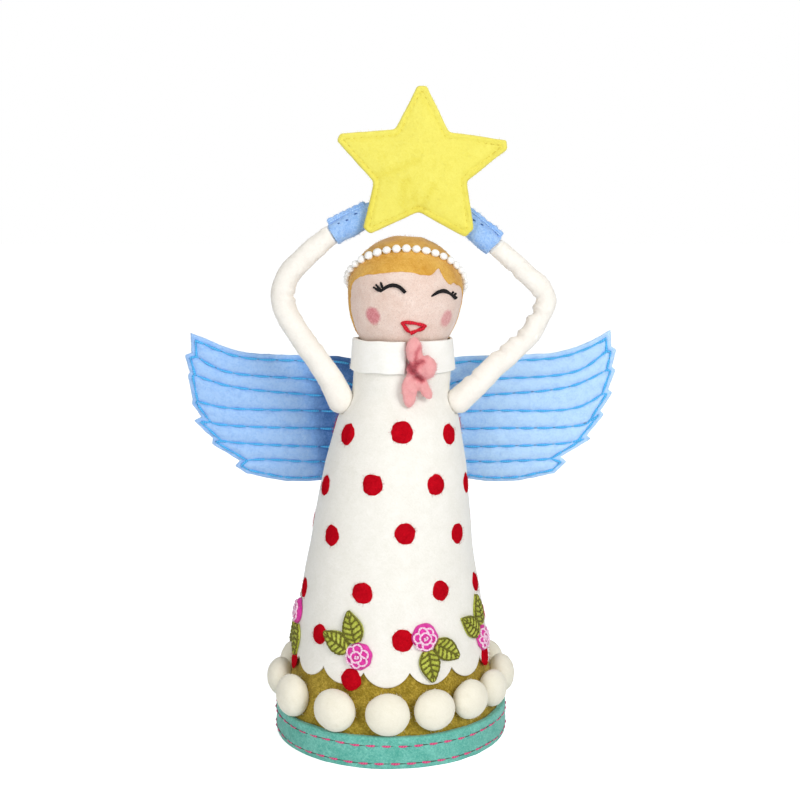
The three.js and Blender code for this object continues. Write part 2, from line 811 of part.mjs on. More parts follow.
function leaf(turn, height, pointing) {
  const angle = THREE.MathUtils.degToRad(pointing);
  const rings = LEAF_ROW_SHARES.map((share) => {
    const along = ROSE_RADIUS + GAP + (share - LEAF_ROW_SHARES[0]) * LEAF_LENGTH;
    const half = (LEAF_WIDTH / 2) * Math.sin(Math.PI * share ** LEAF_TIP_POWER);
    const proud = LEAF_PROUD * Math.min(1, (2 * half) / LEAF_WIDTH + LEAF_THIN_SHARE);
    return LEAF_SECTION_SHARES.map(([sideShare, outShare]) => {
      const side = sideShare * half;
      const across = along * Math.cos(angle) - side * Math.sin(angle);
      const up = along * Math.sin(angle) + side * Math.cos(angle);
      return overBody(turn, height, across, up, GAP + outShare * proud);
    });
  });
  return skin(rings);
}

SPRIGS.forEach(({ turn, riseShare, leaves }, i) => {
  const at = THREE.MathUtils.degToRad(turn);
  const height = OLIVE_TOP + riseShare * LEAF_LENGTH;
  addMesh(angel, `rosebud_${i + 1}`, rosebud(at, height), "rose");
  leaves.forEach((pointing, k) => {
    addMesh(angel, `leaf_${i + 1}${"ab"[k]}`, leaf(at, height, pointing), "leaf");
  });
});

// Collar and bow

const collarSection = () => {
  const low = bodyRadius(COLLAR_LOW) + GAP;
  const high = bodyRadius(BODY_HEIGHT) + GAP;
  return [
    [low + COLLAR_FELT + COLLAR_FLARE, COLLAR_LOW],
    [low + COLLAR_FLARE, COLLAR_LOW],
    [high, COLLAR_HIGH],
    [high + COLLAR_FELT - COLLAR_FLARE, COLLAR_HIGH],
  ];
};
addMesh(
  angel,
  "collar",
  band(
    collarSection,
    COLLAR_COLUMNS,
    HEAD_TURN + COLLAR_GAP_HALF_TURN,
    FULL_TURN - 2 * COLLAR_GAP_HALF_TURN,
  ),
  "ivory",
);

const bowSeat = collarSection()[0][0] + GAP - BOW_SINK;
function bowBlob({ across, up, halfWidth, halfHeight, halfDepth, turn = 0 }) {
  return new THREE.SphereGeometry(1, BOW_SIDES, BOW_RINGS)
    .rotateX(Math.PI / 2)
    .scale(halfWidth, halfDepth, halfHeight)
    .rotateY(THREE.MathUtils.degToRad(turn))
    .translate(across, -bowSeat - halfDepth, up)
    .rotateZ(HEAD_TURN)
    .translate(lean(COLLAR_LOW + BOW_RISE), 0, COLLAR_LOW + BOW_RISE);
}
addMesh(angel, "bow", join(...Object.values(BOW).map(bowBlob)), "bow");

// Head, hair and beads

const hairline = HAIRLINE_SHARES.map(
  ([side, up]) => new THREE.Vector2(side * FACE_HALF_WIDTH, up * HAIRLINE_HEIGHT),
);
function faceBlock(growth) {
  const outline = [
    new THREE.Vector2(-FACE_HALF_WIDTH - growth, -HEAD_DOWN - OVERRUN),
    ...hairline.map((p) => new THREE.Vector2(p.x + Math.sign(p.x) * growth, p.y + growth)),
    new THREE.Vector2(FACE_HALF_WIDTH + growth, -HEAD_DOWN - OVERRUN),
  ];
  return new THREE.ExtrudeGeometry(new THREE.Shape(outline), {
    depth: HEAD_RADIUS + OVERRUN,
    bevelEnabled: false,
  }).rotateX(Math.PI / 2);
}
const belowHair = new THREE.BoxGeometry(4 * HEAD_RADIUS, 4 * HEAD_RADIUS, HEAD_DOWN + OVERRUN).translate(
  0,
  0,
  -HAIR_END - (HEAD_DOWN + OVERRUN) / 2,
);
const belowBed = belowHair.clone().translate(0, 0, -GAP);

addMesh(
  headGroup,
  "head",
  join(egg(-HAIR_BED), intersect(egg(0), faceBlock(0)), intersect(egg(0), belowBed)),
  "skin",
);
addMesh(
  headGroup,
  "hair",
  subtract(egg(HAIR_PROUD), egg(GAP - HAIR_BED), faceBlock(GAP), belowHair),
  "hair",
);

function beadPath() {
  const normal = new THREE.Vector3(0, Math.sin(BEAD_PLANE_TIP), Math.cos(BEAD_PLANE_TIP));
  const back = new THREE.Vector3(0, Math.cos(BEAD_PLANE_TIP), -Math.sin(BEAD_PLANE_TIP));
  const stand = HAIR_PROUD + GAP + BEAD_RADIUS;
  const inside = (p) =>
    Math.hypot(p.x, p.y) ** 2 / (HEAD_RADIUS + stand) ** 2 +
      p.z ** 2 / ((p.z > 0 ? HEAD_UP : HEAD_DOWN) + stand) ** 2 <
    1;
  const points = [];
  for (let i = 0; i < BEADS; i++) {
    const angle = (FULL_TURN * i) / BEADS;
    const way = new THREE.Vector3(Math.sin(angle), 0, 0).addScaledVector(back, -Math.cos(angle));
    const place = (reach) => normal.clone().multiplyScalar(BEAD_PLANE_LIFT).addScaledVector(way, reach);
    let near = 0;
    let far = 2 * HEAD_RADIUS + HEAD_DOWN;
    for (let k = 0; k < HALVINGS; k++) {
      const middle = (near + far) / 2;
      if (inside(place(middle))) near = middle;
      else far = middle;
    }
    points.push(place(near));
  }
  return new THREE.CatmullRomCurve3(points, true);
}

function beadString() {
  const path = beadPath();
  const normal = new THREE.Vector3(0, Math.sin(BEAD_PLANE_TIP), Math.cos(BEAD_PLANE_TIP));
  const rings = [];
  for (let i = 0; i < BEADS; i++) {
    for (const share of BEAD_STEP_SHARES) {
      const at = (i + share) / BEADS;
      const centre = path.getPointAt(at);
      const out = new THREE.Vector3().crossVectors(path.getTangentAt(at), normal).normalize();
      const radius = Math.max(THREAD_RADIUS, BEAD_RADIUS * Math.sqrt(1 - (2 * share - 1) ** 2));
      const ring = [];
      for (let j = 0; j < BEAD_SIDES; j++) {
        const angle = (FULL_TURN * j) / BEAD_SIDES;
        ring.push(
          centre
            .clone()
            .addScaledVector(out, radius * Math.cos(angle))
            .addScaledVector(normal, radius * Math.sin(angle)),
        );
      }
      rings.push(ring);
    }
  }
  return skin(rings, true);
}
addMesh(headGroup, "bead_string", beadString(), "bead", 0.3);

// Arms and mittens

for (const [side, { thicknessShares }] of Object.entries(SIDES)) {
  const thickness = thicknessShares.map((value, i) => [i / (thicknessShares.length - 1), value]);
  const radiusAt = (share) => ARM_BALL_RADIUS * between(thickness, share);
  const sleeve = rod(armCurves[side], ARM_STEPS, ARM_SIDES, radiusAt);
  const pastWrist = new THREE.BoxGeometry(OVERRUN, OVERRUN, OVERRUN)
    .translate(OVERRUN / 2 - GAP, 0, 0)
    .applyMatrix4(handFrame(side));
  const arm = subtract(join(sleeve, shoulderBall(side, 0)), wire(GAP), pastWrist);
  addMesh(angel, `arm_${side}`, arm, "ivory");
}
addMesh(angel, "arm_wire", wire(0), "wire", 0.35, 1);

function mittenBody() {
  const rings = MITTEN_ROWS_SHARES.map(([along, width, depth]) => {
    const ring = [];
    for (let i = 0; i < MITTEN_SIDES; i++) {
      const angle = (FULL_TURN * i) / MITTEN_SIDES;
      ring.push(
        new THREE.Vector3(
          along * MITTEN_LENGTH,
          MITTEN_SHIFT + width * MITTEN_HALF_WIDTH * Math.cos(angle),
          depth * MITTEN_HALF_DEPTH * Math.sin(angle),
        ),
      );
    }
    return ring;
  });
  return skin(rings);
}

function mittenSeam() {
  const outline = new THREE.Shape();
  outline.moveTo(SEAM_START, SEAM_ROOT);
  outline.lineTo(SEAM_END, SEAM_ROOT);
  const pitch = (SEAM_END - SEAM_START) / SEAM_SCALLOPS;
  for (let i = 0; i < SEAM_SCALLOPS; i++) {
    const from = SEAM_END - i * pitch;
    outline.lineTo(from, SEAM_REACH - SEAM_SCALLOP_DEPTH);
    outline.lineTo(from - SEAM_SLOPE_SHARE * pitch, SEAM_REACH);
    outline.lineTo(from - (1 - SEAM_SLOPE_SHARE) * pitch, SEAM_REACH);
  }
  outline.lineTo(SEAM_START, SEAM_REACH - SEAM_SCALLOP_DEPTH);
  outline.closePath();
  return new THREE.ExtrudeGeometry(outline, { depth: SEAM_FELT, bevelEnabled: false }).translate(
    0,
    0,
    -SEAM_FELT / 2,
  );
}

for (const side of Object.keys(SIDES)) {
  const mitten = join(mittenBody(), mittenSeam()).applyMatrix4(handFrame(side));
  addMesh(angel, `mitten_${side}`, subtract(mitten, wire(GAP)), "wing");
}

// Star

const starGroup = new THREE.Group();
starGroup.position.set(
  STAR_SHIFT,
  -SHOULDER_FORWARD - ARM_FORWARD - MITTEN_HALF_DEPTH - STAR_FELT - GAP / 2,
  SHOULDER_HEIGHT + ARM_RISE + STAR_RISE,
);
starGroup.rotation.y = STAR_TILT;
angel.add(starGroup);

function starOutline() {
  const points = [];
  for (let i = 0; i < STAR_POINTS; i++) {
    const tipTurn = (FULL_TURN * i) / STAR_POINTS;
    const notchTurn = tipTurn + Math.PI / STAR_POINTS;
    const reach = STAR_REACH * STAR_TIP_SHARES[i];
    const at = (turn, radius) => new THREE.Vector2(radius * Math.sin(turn), radius * Math.cos(turn));
    const tip = at(tipTurn, reach);
    const before = at(tipTurn - Math.PI / STAR_POINTS, STAR_NOTCH);
    const after = at(notchTurn, STAR_NOTCH);
    const cut = (towards) => {
      const way = towards.clone().sub(tip);
      return tip.clone().addScaledVector(way, STAR_TIP_ROUND / way.length());
    };
    const [first, second] = [cut(before), cut(after)];
    const blunt = first.clone().add(second).multiplyScalar(1 / 2).lerp(tip, STAR_TIP_SIDE_SHARE);
    points.push(first, blunt, second, after);
  }
  return points;
}

// One layer of the star between two depths, each given as a function of the share from the middle to the rim.
function starLayer(frontAt, backAt, rimShare) {
  const outline = starOutline();
  const shares = [rimShare, ...STAR_RING_SHARES.filter((share) => share < rimShare)];
  const ringAt = (share, depth) => outline.map((p) => new THREE.Vector3(p.x * share, depth, p.y * share));
  return skin([
    ...[...shares].reverse().map((share) => ringAt(share, -frontAt(share))),
    ...shares.map((share) => ringAt(share, -backAt(share))),
  ]);
}
const starSwell = (share) => STAR_SWELL * Math.max(0, 1 - (share / STAR_RIM_SHARE) ** 2);
const starInside = (share) => GAP / 2 + starSwell(share);
const starOutside = (share) => starInside(share) + STAR_FELT;
addMesh(starGroup, "star_front", starLayer(starOutside, starInside, 1), "star");
addMesh(
  starGroup,
  "star_back",
  starLayer(
    (share) => -starInside(share),
    (share) => -starOutside(share),
    1,
  ),
  "star",
);
const starFill = (share) => Math.max(GAP / 2, starSwell(share) - GAP / 2);
addMesh(
  starGroup,
  "star_filling",
  starLayer(starFill, (share) => -starFill(share), STAR_FILL_SHARE),
  "ball",
);

// Wings

const wingGroup = new THREE.Group();
const wingTangent = WING_TANGENT_SHARE * BODY_HEIGHT;
const wingInset = (WING_PUFF - WING_EDGE) / 2; // from the puffs' front to the sewn edge's front
const wingSeat = Math.sqrt(bodyRadius(wingTangent) ** 2 - WING_ROOT ** 2) + WING_BACK_GAP;
wingGroup.position.set(
  WING_MIDDLE,
  wingSeat - wingInset + Math.tan(WING_SLANT) * WING_DROP,
  wingTangent - WING_DROP,
);
wingGroup.rotation.x = WING_SLANT;
angel.add(wingGroup);

// The lines between the feathers, from the top edge of the wing to its lower edge.
function featherLines(side) {
  const { wingTipShares: tips, wingNotchShares: notches } = SIDES[side];
  const rootShare = WING_ROOT / WING_REACH;
  const lines = [];
  for (let i = 0; i <= FEATHERS; i++) {
    const root = THREE.MathUtils.lerp(WING_ROOT_HIGH_SHARE, WING_ROOT_LOW_SHARE, i / FEATHERS);
    let shares;
    if (i === 0) {
      shares = [...WING_TOP_EDGE_SHARES, tips[0]];
    } else if (i === FEATHERS) {
      shares = WING_LOW_EDGE_SHARES;
    } else {
      const { inner, knee } = WING_QUILT_SHARES[i - 1];
      shares = [
        [WING_QUILT_BEND_SHARE, THREE.MathUtils.lerp(inner, root, WING_QUILT_DROP_SHARE)],
        [WING_QUILT_INNER_SHARE, inner],
        knee,
        notches[i - 1],
      ];
    }
    const points = [[rootShare, root], ...shares].map(
      ([out, up]) => new THREE.Vector3(out * WING_REACH, 0, up * WING_HEIGHT),
    );
    lines.push(new THREE.CatmullRomCurve3(points, false, "centripetal"));
  }
  return lines;
}

function wing(side) {
  const { sign, wingTipShares: tips } = SIDES[side];
  const lines = featherLines(side);
  const rows = [];
  const lineRow = (index) => {
    const row = [];
    for (let j = 0; j <= WING_COLUMNS; j++) row.push(lines[index].getPointAt(j / WING_COLUMNS));
    return row;
  };
  const lineRows = lines.map((_, i) => lineRow(i));
  for (let i = 0; i < FEATHERS; i++) {
    FEATHER_ROW_SHARES.forEach((share, k) => {
      const row = lineRows[i].map((p, j) => p.clone().lerp(lineRows[i + 1][j], share));
      const tip = new THREE.Vector3(tips[i][0] * WING_REACH, 0, tips[i][1] * WING_HEIGHT);
      if (k > 0) row[WING_COLUMNS] = tip.lerp(lineRows[i + 1][WING_COLUMNS], FEATHER_END_SHARES[k]);
      rows.push({ row, puff: Math.sin(Math.PI * share) ** WING_PUFF_POWER });
    });
  }
  rows.push({ row: lineRows[FEATHERS], puff: 0 });
  // Each column of the wing, root to tip, is one ring: down its front and up its back.
  const rings = [];
  for (let j = 0; j <= WING_COLUMNS; j++) {
    const edge = j === 0 || j === WING_COLUMNS;
    const thickness = ({ puff }, i) => {
      if (edge || i === 0 || i === rows.length - 1) return WING_EDGE;
      return THREE.MathUtils.lerp(WING_CHANNEL, WING_PUFF, puff);
    };
    const front = rows.map((entry, i) => {
      const p = entry.row[j];
      return new THREE.Vector3(sign * p.x, (WING_PUFF - thickness(entry, i)) / 2, p.z);
    });
    const back = rows.map((entry, i) => {
      const p = entry.row[j];
      return new THREE.Vector3(sign * p.x, (WING_PUFF + thickness(entry, i)) / 2, p.z);
    });
    rings.push([...front, ...back.reverse()]);
  }
  return skinBetween(rings);
}

// Like skin, with flat ends made of strips between the front and the back instead of fans.
function skinBetween(rings) {
  const count = rings[0].length;
  const points = rings.flat();
  const faces = [];
  for (let i = 0; i < rings.length - 1; i++) {
    for (let j = 0; j < count; j++) {
      const [a, b, k] = [i * count, (i + 1) * count, (j + 1) % count];
      faces.push(a + j, b + j, b + k, a + j, b + k, a + k);
    }
  }
  for (const [start, flip] of [
    [0, false],
    [(rings.length - 1) * count, true],
  ]) {
    for (let j = 0; j < count / 2 - 1; j++) {
      const [a, b, c, d] = [start + j, start + j + 1, start + count - 2 - j, start + count - 1 - j];
      faces.push(...(flip ? [a, c, b, a, d, c] : [a, b, c, a, c, d]));
    }
  }
  const geometry = new THREE.BufferGeometry().setFromPoints(points);
  geometry.setIndex(faces);
  return closed(geometry);
}

for (const side of Object.keys(SIDES)) addMesh(wingGroup, `wing_${side}`, wing(side), "wing");

export default angel;
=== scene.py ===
# %% [markdown]
# # A felt angel for the top of a tree
# The angel is a hollow cone of pressed wool with a round head, two wired arms that hold a stuffed star,
# and two quilted wings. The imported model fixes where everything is, and this lesson dresses it: every
# felt piece is made again with its own stitches, fibres and colours, and rides on the part of the model
# that carries it.

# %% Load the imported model
import math
import random

import bmesh
import bpy
import numpy as np
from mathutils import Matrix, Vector, noise


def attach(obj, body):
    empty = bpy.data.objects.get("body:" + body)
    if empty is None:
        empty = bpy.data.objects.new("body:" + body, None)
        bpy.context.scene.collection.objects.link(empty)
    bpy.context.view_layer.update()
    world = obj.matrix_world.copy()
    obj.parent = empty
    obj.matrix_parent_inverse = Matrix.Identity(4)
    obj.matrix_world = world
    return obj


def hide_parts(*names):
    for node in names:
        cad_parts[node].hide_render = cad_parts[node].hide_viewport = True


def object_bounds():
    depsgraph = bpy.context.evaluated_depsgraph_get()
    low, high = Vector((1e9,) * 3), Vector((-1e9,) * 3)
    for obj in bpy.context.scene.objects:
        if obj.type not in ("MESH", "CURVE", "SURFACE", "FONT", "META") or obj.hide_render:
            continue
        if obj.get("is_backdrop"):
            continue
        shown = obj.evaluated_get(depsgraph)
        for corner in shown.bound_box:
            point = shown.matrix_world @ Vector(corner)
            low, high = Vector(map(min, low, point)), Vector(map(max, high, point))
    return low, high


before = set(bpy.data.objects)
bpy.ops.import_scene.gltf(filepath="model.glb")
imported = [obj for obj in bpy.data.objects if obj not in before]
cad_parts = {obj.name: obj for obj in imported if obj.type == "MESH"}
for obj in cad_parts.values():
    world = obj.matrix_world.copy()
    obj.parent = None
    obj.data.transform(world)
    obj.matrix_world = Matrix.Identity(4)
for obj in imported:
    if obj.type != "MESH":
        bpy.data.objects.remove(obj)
cad_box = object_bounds()
MM = 0.001
FULL_TURN = 2 * math.pi
print("nodes in the frame:", len(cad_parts))

# %% [markdown]
# ## The camera
# The photograph was taken from a little above the angel's waist, about 60 cm away, looking slightly down.
# A camera object with the same place and lens shows the model as the photograph shows the real one.

# %% Camera
CAMERA_PLACE = (0.0044, -0.614, 0.2419)
CAMERA_DOWN = math.radians(7.65)
LENS = 58.95


def new_object(name, data):
    made = bpy.data.objects.new(name, data)
    bpy.context.scene.collection.objects.link(made)
    return made


camera_data = bpy.data.cameras.new("photo_camera")
camera_data.lens = LENS
camera_data.sensor_width = 36
camera = new_object("photo_camera", camera_data)
camera.location = CAMERA_PLACE
camera.rotation_euler = (math.pi / 2 - CAMERA_DOWN, 0, 0)
bpy.context.scene.camera = camera
bpy.context.scene.view_settings.view_transform = "Standard"
print("camera lens:", camera_data.lens, "mm")

# %% [markdown]
# ## Writing node trees as plain sums
# Materials and Geometry Nodes are both trees of nodes. Building them by hand takes many lines, so one
# small class holds a tree and adds a node in one call, and another holds a socket and understands + - *
# /, so a finish can be written as the sum that it is.


# %% Tree and socket helpers
class Socket:
    """One output of a node, with arithmetic that adds Math nodes."""

    def __init__(self, tree, socket):
        self.tree = tree
        self.socket = socket

    def math(self, operation, *others, clamp=False):
        values = dict(enumerate((self, *others)))
        return self.tree.node("ShaderNodeMath", values, operation=operation, use_clamp=clamp)

    def reflected(self, operation, other):
        return self.tree.node("ShaderNodeMath", {0: other, 1: self}, operation=operation)

    def clamped(self):
        return self.math("MAXIMUM", 0.0, clamp=True)

    def __add__(self, other):
        return self.math("ADD", other)

    def __radd__(self, other):
        return self.reflected("ADD", other)

    def __sub__(self, other):
        return self.math("SUBTRACT", other)

    def __rsub__(self, other):
        return self.reflected("SUBTRACT", other)

    def __mul__(self, other):
        return self.math("MULTIPLY", other)

    def __rmul__(self, other):
        return self.reflected("MULTIPLY", other)

    def __truediv__(self, other):
        return self.math("DIVIDE", other)

    def __rtruediv__(self, other):
        return self.reflected("DIVIDE", other)

    def __pow__(self, other):
        return self.math("POWER", other)


class Tree:
    """A node tree that is written one call a node."""

    def __init__(self, node_tree):
        self.nodes = node_tree.nodes
        self.links = node_tree.links

    def node(self, kind, sockets=None, output=0, stops=(), **settings):
        made = self.nodes.new(kind)
        for key, value in settings.items():
            setattr(made, key, value)
        if stops:
            ramp = made.color_ramp.elements
            while len(ramp) < len(stops):
                ramp.new(1)
            for element, (place, colour) in zip(ramp, stops):
                element.position = place
                element.color = colour
        for key, value in (sockets or {}).items():
            if isinstance(value, Socket):
                self.links.new(value.socket, made.inputs[key])
            else:
                made.inputs[key].default_value = value
        return Socket(self, made.outputs[output]) if made.outputs else made

    def xyz(self, x, y, z):
        return self.node("ShaderNodeCombineXYZ", {0: x, 1: y, 2: z})

    def vector(self, operation, *values, output=0):
        return self.node("ShaderNodeVectorMath", dict(enumerate(values)), output, operation=operation)


def empty_tree(owner):
    """The tree of a new material or world, with nothing in it yet."""
    owner.use_nodes = True
    owner.node_tree.nodes.clear()
    return Tree(owner.node_tree)


print("helpers for node trees are ready")

# %% [markdown]
# ## Colours
# A colour is written as a maker writes it, as a hex code read from a colour card. Blender works in linear
# light, so each code is turned into linear red, green and blue before it goes into a material.


# %% Colours
def paint(code):
    """Linear red, green, blue and alpha for a hex colour."""
    parts = [int(code[i : i + 2], 16) / 255 for i in (1, 3, 5)]
    linear = [p / 12.92 if p <= 0.04045 else ((p + 0.055) / 1.055) ** 2.4 for p in parts]
    return (*linear, 1)


print("colours are given as hex codes")

# %% [markdown]
# ## Light and floor
# The photograph has soft light from the right and above, and a white ground with a faint shadow. Large
# area lamps give soft light. The world lights the angel evenly, and only the camera and reflections see
# it as white. The floor is pale, and a little light of its own, which only the camera and reflections
# see, lifts it to white, so the shadow stays.


# %% Lamps
def soft_lamp(name, place, size, power, aim=(0, 0, 0.15)):
    """A square lamp that faces the angel."""
    data = bpy.data.lights.new(name, "AREA")
    data.size = size
    data.energy = power
    lamp = new_object(name, data)
    lamp.location = place
    lamp.rotation_euler = (Vector(aim) - Vector(place)).to_track_quat("-Z", "Y").to_euler()


LAMPS = [
    ("key_lamp", (0.68, -1.05, 0.7), 0.5, 9.3), ("fill_lamp", (-0.7, -1.1, 0.35), 0.8, 5.3),
    ("top_lamp", (0, 0.1, 1.2), 0.8, 2.0), ("back_lamp", (0.3, 1.2, 0.6), 0.9, 1.4),
]
for name, place, size, power in LAMPS:
    soft_lamp(name, place, size, power)
print("lamps:", [name for name, *_ in LAMPS])

# %% World and floor
WORLD_LIGHT = 0.36
WORLD_COLOUR = paint("#FAF9F6")
FLOOR_SIZE = 30


def seen_directly(tree):
    """1 for rays from the camera, from reflections and through glass, otherwise 0."""
    rays = [tree.node("ShaderNodeLightPath", output=name) for name in (0, 3, 6)]
    return rays[0].math("MAXIMUM", rays[1]).math("MAXIMUM", rays[2])


world = bpy.data.worlds.new("studio")
bpy.context.scene.world = world
sky = empty_tree(world)
plain = sky.node("ShaderNodeBackground", {"Color": WORLD_COLOUR, "Strength": WORLD_LIGHT})
white = sky.node("ShaderNodeBackground", {"Color": (1, 1, 1, 1), "Strength": 1})
shown = sky.node("ShaderNodeMixShader", {0: seen_directly(sky), 1: plain, 2: white})
sky.node("ShaderNodeOutputWorld", {"Surface": shown})

floor_finish = bpy.data.materials.new("pale_floor")
ground = empty_tree(floor_finish)
FLOOR_COLOUR = paint("#EEF2F8")
FLOOR_LIFT = 0.82
matt = ground.node("ShaderNodeBsdfDiffuse", {"Color": FLOOR_COLOUR})
glow = seen_directly(ground) * FLOOR_LIFT
lift = ground.node("ShaderNodeEmission", {"Color": (1, 1, 1, 1), "Strength": glow})
both = ground.node("ShaderNodeAddShader", {0: matt, 1: lift})
ground.node("ShaderNodeOutputMaterial", {"Surface": both})

floor_mesh = bpy.data.meshes.new("floor")
half = FLOOR_SIZE / 2
corners = [(-half, -half, 0), (half, -half, 0), (half, half, 0), (-half, half, 0)]
floor_mesh.from_pydata(corners, [], [(0, 1, 2, 3)])
floor_mesh.materials.append(floor_finish)
floor = new_object("floor", floor_mesh)
floor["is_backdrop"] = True
print("floor is", FLOOR_SIZE, "m across")

# %% [markdown]
# ## Felt
# Felt is wool fibres pressed into a sheet. Close up it shows three things: clouds where the wool was laid
# on thickly or thinly, fine fibres that run every way, and a soft halo at its edges. The clouds and
# fibres are noise textures on Object coordinates, stretched noise for the fibres, and they change the
# colour and feed a bump. Sheen on the shader gives the soft edge light of wool.

# %% Felt finishes
CLOUD_SCALE = 130
FIBRE_SCALE = 1500
FIBRE_STRETCH = 3.5
FIBRE_MIDDLE = 0.62
FIBRE_TURNS = [(0.4, 0.5, 0.0), (1.3, 1.9, 0.7), (-0.3, -0.7, 0.2)]


def empty_material(name):
    material = bpy.data.materials.new(name)
    return material, empty_tree(material)


def noise_on(tree, place, scale, detail=2.0, roughness=0.5, distortion=0.0):
    sockets = {"Vector": place, "Scale": scale, "Detail": detail, "Roughness": roughness}
    return tree.node("ShaderNodeTexNoise", {**sockets, "Distortion": distortion})


def wool_fibres(tree, place):
    """Fine streaks that cross each other: the brightest of three stretched noises."""
    streaks = []
    for turn in FIBRE_TURNS:
        stretch = {"Vector": place, "Rotation": turn, "Scale": (1, 1, FIBRE_STRETCH)}
        turned = tree.node("ShaderNodeMapping", stretch, vector_type="TEXTURE")
        streaks.append(noise_on(tree, turned, FIBRE_SCALE, 2, 0.6, 0.4))
    return streaks[0].math("MAXIMUM", streaks[1]).math("MAXIMUM", streaks[2])


def wool_material(name):
    """A material with its tree, its Object coordinates and the fibres on them."""
    material, tree = empty_material(name)
    place = tree.node("ShaderNodeTexCoord", output=3)
    return material, tree, place, wool_fibres(tree, place)


def mix_colours(tree, share, first, second):
    return tree.node("ShaderNodeMix", {0: share, 6: first, 7: second}, output=2, data_type="RGBA")


def finish_shader(tree, colour, height, bump, depth, **constant):
    """The shader of every finish here: a colour, a bump, and numbers that are the same all over."""
    normal = tree.node("ShaderNodeBump", {"Strength": bump, "Distance": depth, "Height": height})
    constant = {key.replace("_", " "): value for key, value in constant.items()}
    shader = tree.node("ShaderNodeBsdfPrincipled", {"Base Color": colour, "Normal": normal, **constant})
    tree.node("ShaderNodeOutputMaterial", {"Surface": shader})


def wool_shader(tree, colour, fibres, bump, sheen=0.25, depth=0.0003, **constant):
    """Rough all over, with the soft edge light of wool."""
    wool = {"Roughness": 0.95, "Sheen_Weight": sheen, "Sheen_Roughness": 0.5, **constant}
    finish_shader(tree, colour, fibres, bump, depth, **wool)


def felt_colour(tree, place, pale, deep, cloud, fleck, fibres):
    clouds = noise_on(tree, place, CLOUD_SCALE, 4, 0.6, 0.6)
    share = (0.5 + (clouds - 0.5) * cloud + (fibres - FIBRE_MIDDLE) * fleck).clamped()
    return mix_colours(tree, share, paint(deep), paint(pale))


def felt(name, pale, deep, cloud=1.0, fleck=2.0, bump=0.55, sheen=0.25, gloss=0.2):
    """Pressed wool between two colours."""
    material, tree, place, fibres = wool_material(name)
    colour = felt_colour(tree, place, pale, deep, cloud, fleck, fibres)
    wool_shader(tree, colour, fibres, bump, sheen, Specular_IOR_Level=gloss)
    return material


ivory_felt = felt("ivory_felt", "#F9F6EF", "#ECE9DF", 1.2, 1.8, 0.4)
# collar_felt is the ivory felt made lighter: painted light that lifts the collar out of the head's shade.
collar_felt = felt("collar_felt", "#FFFDF9", "#F6F4EC", 1.2, 1.8, 0.4)
sleeve_felt = felt("sleeve_felt", "#FCF8F0", "#EFE9DF", 1.2, 1.6, 0.4)
ball_wool = felt("ball_wool", "#F8F3E3", "#ECE6D2", 1.0, 1.6, 0.35)
olive_felt = felt("olive_felt", "#CBAF47", "#89731D", 1.6, 3.6, 0.9, 0.1)
teal_felt = felt("teal_felt", "#88D3C4", "#54AA9A", 1.4, 2.8, 0.8)
blue_felt = felt("blue_felt", "#B8D7FA", "#86B1E8", 1.4, 3.0, 0.8)
red_wool = felt("red_wool", "#D61224", "#A80716", 1.2, 1.6, 0.6, 0.0, 0.0)
hair_wool = felt("hair_wool", "#EBBF62", "#CB912F", 1.6, 2.2, 0.6)
print("felt finishes:", [m.name for m in bpy.data.materials if "felt" in m.name or "wool" in m.name])

# %% [markdown]
# ## Thread
# Embroidery thread is two or more plies twisted together. The stitch pieces carry two attributes, how far
# along the thread a point is and where it is round the thread, and the finish draws the twist from them.
# The deep tone that winds round each thread is painted shade between the plies.

# %% Thread finishes
PLY_PITCH = 900.0


def thread(name, pale, deep, sheen=0.1, roughness=0.6):
    """Twisted thread, whose plies are drawn from the attributes along and ply, with painted shade between
    them.
    """
    material, tree = empty_material(name)
    along = tree.node("ShaderNodeAttribute", output=2, attribute_name="along")
    ply = tree.node("ShaderNodeAttribute", output=1, attribute_name="ply")
    parts = [tree.node("ShaderNodeSeparateXYZ", {0: ply}, output=i) for i in (0, 1)]
    angle = along * (PLY_PITCH * FULL_TURN)
    twist = angle.math("SINE") * parts[0] + angle.math("COSINE") * parts[1]
    share = (twist * 0.5 + 0.5).clamped()
    colour = mix_colours(tree, share, paint(deep), paint(pale))
    twine = {"Roughness": roughness, "Sheen_Weight": sheen, "Specular_IOR_Level": 0.25}
    finish_shader(tree, colour, share, 0.5, 0.0002, **twine)
    return material


blue_thread = thread("blue_thread", "#68C8F9", "#36A2E6")
pink_thread = thread("pink_thread", "#F06292", "#D23A70")
dark_thread = thread("dark_thread", "#4A3428", "#2A1C14")
yellow_thread = thread("yellow_thread", "#EADD55", "#CFBB3C")
black_thread = thread("black_thread", "#161214", "#050405", 0.0, 0.85)
lip_thread = thread("lip_thread", "#DE1830", "#B20A20", 0.0)
leaf_thread = thread("leaf_thread", "#787626", "#565214", 0.0)
rose_thread = thread("rose_thread", "#FCE6F1", "#F0B6D8")
print("thread finishes:", [m.name for m in bpy.data.materials if "thread" in m.name])

# %% [markdown]
# ## Making meshes from rings
# Most pieces here are closed forms that a ring of points sweeps out: a cone, a rod, an egg. One helper
# joins rings of points into a closed surface, and another makes it an object in metres, with its finish,
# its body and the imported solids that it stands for.


# %% Mesh helpers
def skin(rings, looped=False):
    """Points and faces of a closed surface through rings of points."""
    rings = np.asarray(rings, float)
    count, sides = rings.shape[:2]
    points = rings.reshape(-1, 3)
    side = np.arange(sides)
    after = (side + 1) % sides
    faces = []
    for i in range(count if looped else count - 1):
        low = i * sides
        high = ((i + 1) % count) * sides
        faces.extend(np.stack([low + side, low + after, high + after, high + side], 1).tolist())
    if not looped:
        ends = np.stack([rings[0].mean(0), rings[-1].mean(0)])
        points = np.vstack([points, ends])
        first, last = count * sides, count * sides + 1
        start = (count - 1) * sides
        faces.extend([[first, int(b), int(a)] for a, b in zip(side, after)])
        faces.extend([[last, int(start + a), int(start + b)] for a, b in zip(side, after)])
    return points, faces


